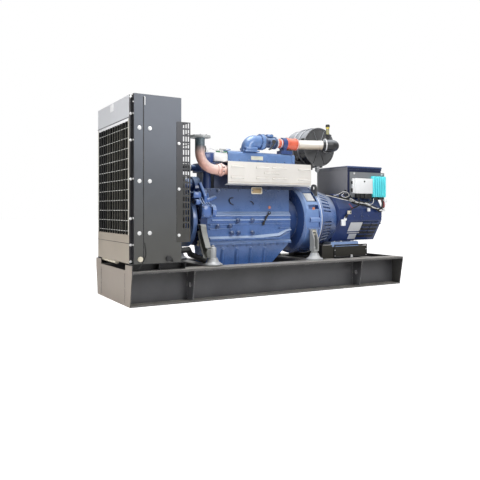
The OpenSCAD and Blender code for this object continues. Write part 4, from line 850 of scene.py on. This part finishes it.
# Painted highlight: the hoods are whiter than the sheet.
hood_highlight = coated("hood_highlight", (1.0, 0.99, 0.96), rough=0.3, mottle=0.03, top_highlight=0.7,
                    top_highlight_tone=(1.0, 1.0, 0.99))
piece("shield_hoods", hoods, hood_highlight, "shield_sheet")
shield_bolts = bmesh.new()
bolts(shield_bolts, (-515, -280, 20, 230, 400), [-200], [1231.5], up, 9)
piece("shield_bolts", shield_bolts, bare_steel, "bare_metal")


# Air filter: moulded black drum, painted pale grey above as the light it catches there and mid grey on its lid as
# painted light, with satin bands and a rim on its lid, pale on top as painted highlights and dark lower down,
# spokes on its lid, a rubber elbow and dust valve, and a service gauge with an olive window and a yellow band.
# Painted light: the black drum is pale grey above and mid grey on its lid.
dress(coated("filter_moulding", (0.38, 0.4, 0.43), rough=0.22, edge=0.6, radius=0.007, bump=0.15,
             edge_wear_and_highlight_tone=(0.4, 0.42, 0.45), fades=(("Z", 1.36, 1.58, (0.022, 0.022, 0.024)),),
             side_face_lighting=(0.12, 0.122, 0.126)), "air_filter")
dress(coated("elbow_rubber", (0.03, 0.03, 0.032), rough=0.3, mottle=0.3, top_highlight=0.7, top_highlight_tone=(0.42, 0.44, 0.47)),
      "filter_elbow")
filter_x, filter_z = 714, 1450
hoops = bmesh.new()
lathe(hoops, (filter_x, -62, filter_z), near, [(0, 195), (0, 204), (9, 204), (12, 200), (9, 195), (0, 195)], 72)
peg(hoops, (filter_x, -36, 1250), (0, 0, -1), [(0, 26), (14, 26), (20, 22), (48, 24), (64, 10)], 20)
hoop = [(0, 200), (0, 210), (4, 213), (12, 213), (16, 210), (16, 200), (0, 200)]
for y in (24, 118):
    lathe(hoops, (filter_x, y, filter_z), (0, 1, 0), hoop, 72)
# Painted highlight: the bands and rim are pale on top and darker lower down.
hoop_satin = coated("hoop_satin", (0.5, 0.52, 0.56), rough=0.22,
                    fades=(("Z", 1.3, 1.56, (0.17, 0.17, 0.18)), ("Z", 1.24, 1.26, (0.4, 0.4, 0.41))))
piece("filter_hoops", hoops, hoop_satin, "filter_black")
gauge = bmesh.new()
lathe(gauge, (690, -240, 1500), up, [(0, 0), (0, 14), (48, 14), (50, 20), (58, 20), (60, 16), (62, 0)], 20)
peg(gauge, (690, -240, 1638), up, [(0, 22), (18, 22), (22, 18), (26, 18)], 20)
for x, z in ring(204, 40, 120, 3):
    seat = Vector((filter_x + x, -60, filter_z + z))
    slab(gauge, seat - Vector((14, 6, 14)), seat + Vector((14, 40, 14)), 4)
tube(gauge, [(560, -120, 1262), (575, -118, 1236), (566, -122, 1205)], 14)
piece("filter_fittings", gauge, black_rubber, "filter_black")
gauge_band = bmesh.new()
peg(gauge_band, (690, -240, 1620), up, [(0, 18), (18, 18)], 20)
gauge_yellow = coated("gauge_yellow", (0.75, 0.62, 0.12), rough=0.35, mottle=0.05)
piece("gauge_band", gauge_band, gauge_yellow, "filter_black")
window = bmesh.new()
peg(window, (690, -240, 1562), up, [(0, 16), (58, 16)], 20)
gauge_olive = coated("gauge_olive", (0.3, 0.28, 0.12), rough=0.15, coat=0.5)
piece("gauge_window", window, gauge_olive, "filter_black")
valve_clip = bmesh.new()
lathe(valve_clip, (filter_x, -36, 1244), (0, 0, -1), [(0, 20), (0, 29), (8, 29), (8, 20)], 20)
piece("valve_clip", valve_clip, bare_steel, "bare_metal")


# Alternator: steel barrel and cast end cover in navy enamel, paler on upper faces as dust and painted light, bolted
# along the flanks, on paler cast feet whose ends that look -X are painted whitish as light. The terminal box is
# folded sheet with an overhanging lid painted a lighter navy as light on top, its faces that look -X painted grey
# as the light they catch, and carries a grey plate for the controls.
navy = coated("alternator_enamel", (0.016, 0.04, 0.16), rough=0.3, mottle=0.14, mottle_scale=2.0, coat=0.5,
              dust_and_top_light=0.35, dust_and_top_light_tone=(0.2, 0.24, 0.36), edge=0.6, edge_wear_and_highlight_tone=(0.2, 0.28, 0.5), radius=0.006,
              top_highlight=0.45, top_highlight_tone=(0.2, 0.26, 0.42))
dress(navy, "alternator_body", "alternator_end_cover")
# Painted light: the terminal box's faces that look -X are grey.
dress(coated("terminal_enamel", (0.008, 0.016, 0.06), rough=0.36, mottle=0.08, edge=0.6, radius=0.006,
             edge_wear_and_highlight_tone=(0.16, 0.2, 0.36), top_highlight=0.8, top_highlight_tone=(0.22, 0.28, 0.46),
             end_face_lighting=(0.34, 0.34, 0.365)), "terminal_box")
dress(coated("plate_grey", (0.24, 0.25, 0.265), rough=0.35, mottle=0.06, edge=0.4), "control_plate")
# Painted light: the feet's ends that look -X are whitish.
dress(coated("foot_enamel", (0.26, 0.39, 0.68), rough=0.28, coat=0.4, edge=0.6, edge_wear_and_highlight_tone=joint_highlight,
             top_highlight=0.6, top_highlight_tone=(0.5, 0.6, 0.8), end_face_lighting=(0.6, 0.65, 0.7)), "alternator_feet")
flank_bolts = bmesh.new()
for side in (-1, 1):
    out = (0, side, 0)
    bolts(flank_bolts, (998, 1095), [side * 300], [720], out, 8)
    bolts(flank_bolts, (1125, 1205, 1370), [side * 294], [720], out, 8)
    bolt(flank_bolts, (1370, side * 294, 640), out, 8)
piece("alternator_fittings", flank_bolts, navy, "alternator_blue")
lid = bmesh.new()
slab(lid, (934, -263, 1234), (1426, 263, 1250), 3)
# Painted light: the lid is a lighter navy than the box, its front grey.
lid_enamel = coated("lid_enamel", (0.05, 0.085, 0.22), rough=0.32, mottle=0.08, coat=0.3, edge=0.8, radius=0.006,
                    edge_wear_and_highlight_tone=(0.3, 0.38, 0.58), top_highlight=0.6, top_highlight_tone=(0.3, 0.38, 0.58),
                    end_face_lighting=(0.2, 0.21, 0.25))
piece("box_lid", lid, lid_enamel, "alternator_blue")


# Louvres and tags on the alternator's slanted near flank: hooded slots pressed in the end cover in four rows of
# two, painted black inside as shade, and three blank tags of pale metal riveted beside them.
slant_y, slant_z = 0.5196, 0.8545


def on_flank(x, drop, lift):
    """Place on the slanted near flank: a distance down from its crease and a lift off it."""
    return Vector((x, -300 + drop * slant_y - lift * slant_z, 677 - drop * slant_z - lift * slant_y))


def flank_plate(mesh, low, high, drop, fall, floor_lift, lift):
    """Flat plate on the flank, from x low to high and from drop down to fall."""
    corners = ((low, drop), (high, drop), (high, fall), (low, fall))
    loft(mesh, [[on_flank(x, down, off) for x, down in corners] for off in (floor_lift, lift)])


slits = bmesh.new()
slit_hoods = bmesh.new()
for row in range(4):
    drop = 44 + 46 * row
    lean = 14 * row / 3
    for low, high in ((1136, 1248), (1258, 1368)):
        flank_plate(slits, low - lean, high - lean, drop, drop + 34, -1, 1.2)
        flank_plate(slit_hoods, low - lean, high - lean, drop - 9, drop + 1, -1, 5)
louvre_shade = coated("louvre_shade", (0.006, 0.008, 0.016), rough=0.5, mottle=0.2)
piece("louvre_shadow", slits, louvre_shade, "alternator_blue")
piece("louvre_hoods", slit_hoods, navy, "alternator_blue")
tag = bmesh.new()
for low, high, drop, fall in ((960, 1124, 24, 134), (964, 1133, 149, 160), (1000, 1105, 170, 234)):
    flank_plate(tag, low, high, drop, fall, 2, 4)
tag_metal = coated("tag_metal", (0.72, 0.73, 0.76), rough=0.3, mottle=0.04, metallic=0.2)
piece("flank_tag", tag, tag_metal, "bare_metal")


# Control units: a white moulded housing with a groove and screws, and a bright blue one with shallow fins,
# both screwed to the grey plate on the terminal box, with black plugs below and beside them.
screws = bmesh.new()
for seat in ((1030, -261, 1172), (1425, -261, 1170), (1445, -261, 935)):
    bolt(screws, seat, near, 11)
piece("plate_screws", screws, bare_steel, "bare_metal")
white_box = bmesh.new()
slab(white_box, (990, -290, 962), (1022, -261, 1118), 9)
slab(white_box, (1027, -295, 959), (1266, -261, 1121), 7)
slab(white_box, (1022, -286, 966), (1028, -261, 1114))
for x, z in product((1008, 1250), (972, 1108)):
    peg(white_box, (x, -292, z), near, [(0, 6), (4, 6), (5, 4)], 12)
piece("white_housing", white_box, white_plastic, "box_white", "white_unit")
cyan = bmesh.new()
slab(cyan, (1266.5, -288, 923), (1460, -261, 1149), 4)
for x in range(1270, 1431, 32):
    slab(cyan, (x, -301, 925), (x + 22, -286, 1147), 5)
cyan_plastic = coated("cyan_moulding", (0.14, 0.9, 1.0), rough=0.25, mottle=0.05, coat=0.3, bump=0.05)
piece("cyan_housing", cyan, cyan_plastic, "unit_cyan", "cyan_unit")
unit_plugs = bmesh.new()
for low, high in (
    ((1040, -290, 915), (1092, -264, 959)), ((1098, -288, 909), (1150, -264, 959)),
    ((1156, -292, 905), (1252, -264, 959)), ((1290, -296, 892), (1340, -268, 923)),
    ((1360, -296, 896), (1430, -268, 923)), ((980, -284, 1060), (993, -268, 1090)),
    ((980, -284, 975), (993, -268, 1015)),
):
    slab(unit_plugs, low, high, 4)
peg(unit_plugs, (1144, -295, 1088), near, [(0, 9), (3, 9)], 16)
piece("unit_plugs", unit_plugs, black_rubber, "loom_black")


# Loom: ridged black conduits and thin leads, black, white and red, from the adapter along the near side
# to the units. Rubber ties hold the bundle, and white plugs and a fuse holder hang at its branches.
conduits = bmesh.new()
for route, r in (
    ([(900, -230, 965), (830, -290, 968), (790, -312, 930), (850, -322, 905), (980, -326, 880), (1120, -322, 862),
      (1215, -310, 880), (1230, -290, 905)], 8),
    ([(905, -250, 990), (880, -300, 985), (915, -320, 940), (985, -324, 860), (1040, -322, 838), (1010, -320, 820),
      (950, -318, 800), (905, -318, 752), (868, -318, 716)], 7),
    ([(1274, -318, 803), (1320, -330, 770), (1372, -322, 782), (1418, -300, 830), (1420, -286, 892)], 7),
    ([(1066, -284, 912), (1062, -304, 884), (1100, -322, 858), (1190, -324, 838), (1260, -328, 812)], 8),
):
    tube(conduits, route, r, step=5, ridge=0.16)
tube(conduits, [(880, -240, 967), (860, -290, 952), (950, -316, 872), (1020, -318, 850), (1146, -318, 835),
                (1274, -318, 803), (1360, -314, 800), (1400, -300, 850), (1405, -284, 892)], 10,
     around=12, step=6, ridge=0.16)
strands = bmesh.new()
for mesh, dx, dz in ((strands, 0, 0), (conduits, 9, 7), (conduits, -8, 12)):
    tube(mesh, [(600 + dx, -322, 935 + dz), (700, -322 - dx / 3, 918 + dz), (820, -324, 896 + dz),
                (940, -326, 876 - dz)], 4, around=6)
for mesh, dx, dz in ((strands, 0, 12), (conduits, 14, -10), (strands, -12, 2)):
    tube(mesh, [(915 + dx, -332, 896 + dz), (990, -336, 862 + dz), (1070 + dx, -334, 866 - dz),
                (1150, -336, 838 + dz), (1240 + dx, -334, 820 - dz), (1316, -336, 790 + dz)],
         3, around=6, step=18)
conduit_black = coated("conduit_black", (0.012, 0.012, 0.013), rough=0.3, mottle=0.25, grain=0.0)
piece("conduits", conduits, conduit_black, "loom_black", "wiring_loom")
for route in (
    [(700, -320, 930), (760, -322, 946), (826, -324, 974), (880, -325, 968), (905, -324, 936), (856, -325, 916),
     (806, -324, 930), (830, -324, 958)],
    [(855, -318, 716), (848, -318, 700), (838, -318, 690)],
    [(1120, -330, 862), (1190, -336, 846), (1236, -332, 868), (1248, -320, 908)],
):
    tube(strands, route, 3, around=6)
piece("bare_leads", strands, coated("lead_white", (0.86, 0.86, 0.84)), "loom_black")
red = bmesh.new()
for k in range(3):
    tube(red, [(1392 + 10 * k, -284, 896), (1404 + 12 * k, -300, 868), (1396 + 16 * k, -306, 836),
               (1380 + 14 * k, -312, 806)], 3.2, around=6)
tube(red, [(905, -322, 850), (930, -324, 826), (960, -322, 800)], 3.2, around=6)
piece("red_leads", red, coated("lead_red", (0.5, 0.06, 0.06)), "loom_black")
ends = bmesh.new()
slab(ends, (806, -330, 622), (856, -306, 688), 5)
for low, high in (
    ((846, -328, 676), (872, -308, 700)), ((1160, -330, 770), (1196, -314, 806)),
    ((1330, -332, 764), (1372, -312, 790)), ((1384, -322, 772), (1420, -304, 806)),
    ((1424, -312, 868), (1452, -292, 900)),
):
    slab(ends, low, high, 4)
piece("plug_ends", ends, white_plastic, "box_white")
fuse = bmesh.new()
slab(fuse, (888, -334, 742), (930, -310, 778), 5)
piece("fuse_holder", fuse, cream, "box_white")
ties = bmesh.new()
for spot in (
    (960, -324, 868), (1085, -322, 846), (1205, -320, 826), (915, -320, 762), (1310, -326, 790), (872, -318, 722),
):
    lathe(ties, spot, (0.95, 0, -0.3), [(-6, 8), (-6, 17), (6, 17), (6, 8)], 16)
piece("loom_ties", ties, black_rubber, "loom_black")


# Support blocks: black steel boxes welded under the alternator's feet, with raised rims on their sides.
# Bright bolts go through the feet into them, and a pale shim and a jacking nut stand beside them.
# Painted light: the blocks' sides are a shade browner than the rest, with a faint painted highlight on upper edges.
dress(coated("block_enamel", (0.008, 0.008, 0.008), rough=0.5, mottle=0.2, edge=0.6, edge_wear_and_highlight_tone=(0.3, 0.29, 0.26),
             side_face_lighting=(0.02, 0.018, 0.012), top_highlight=0.25), "alternator_blocks")
rims = bmesh.new()
foot_bolts = bmesh.new()
for side in (-1, 1):
    y_low, y_high = sorted((side * 275, side * 279))
    for x_low, z_low, x_high, z_high in (
        (748, 414, 1196, 428), (748, 293, 1196, 307), (748, 307, 762, 414), (1182, 307, 1196, 414),
    ):
        slab(rims, (x_low, y_low, z_low), (x_high, y_high, z_high), 1.5)
    bolts(foot_bolts, (770, 860, 1000, 1060), [side * 250], [455], up, 12)
    bolts(foot_bolts, (755, 1185), [side * 275], (312, 372), (0, side, 0), 7)
    slab(foot_bolts, (590, side * 290 - 4, 428), (700, side * 290 + 4, 432))
    peg(foot_bolts, (960, side * 300, 292), up, [(0, 17), (4, 17), (4, 11), (26, 11), (28, 8)], 6)
piece("block_rims", rims, black_rubber, "block_black")
piece("foot_bolts", foot_bolts, bare_steel, "bare_metal")
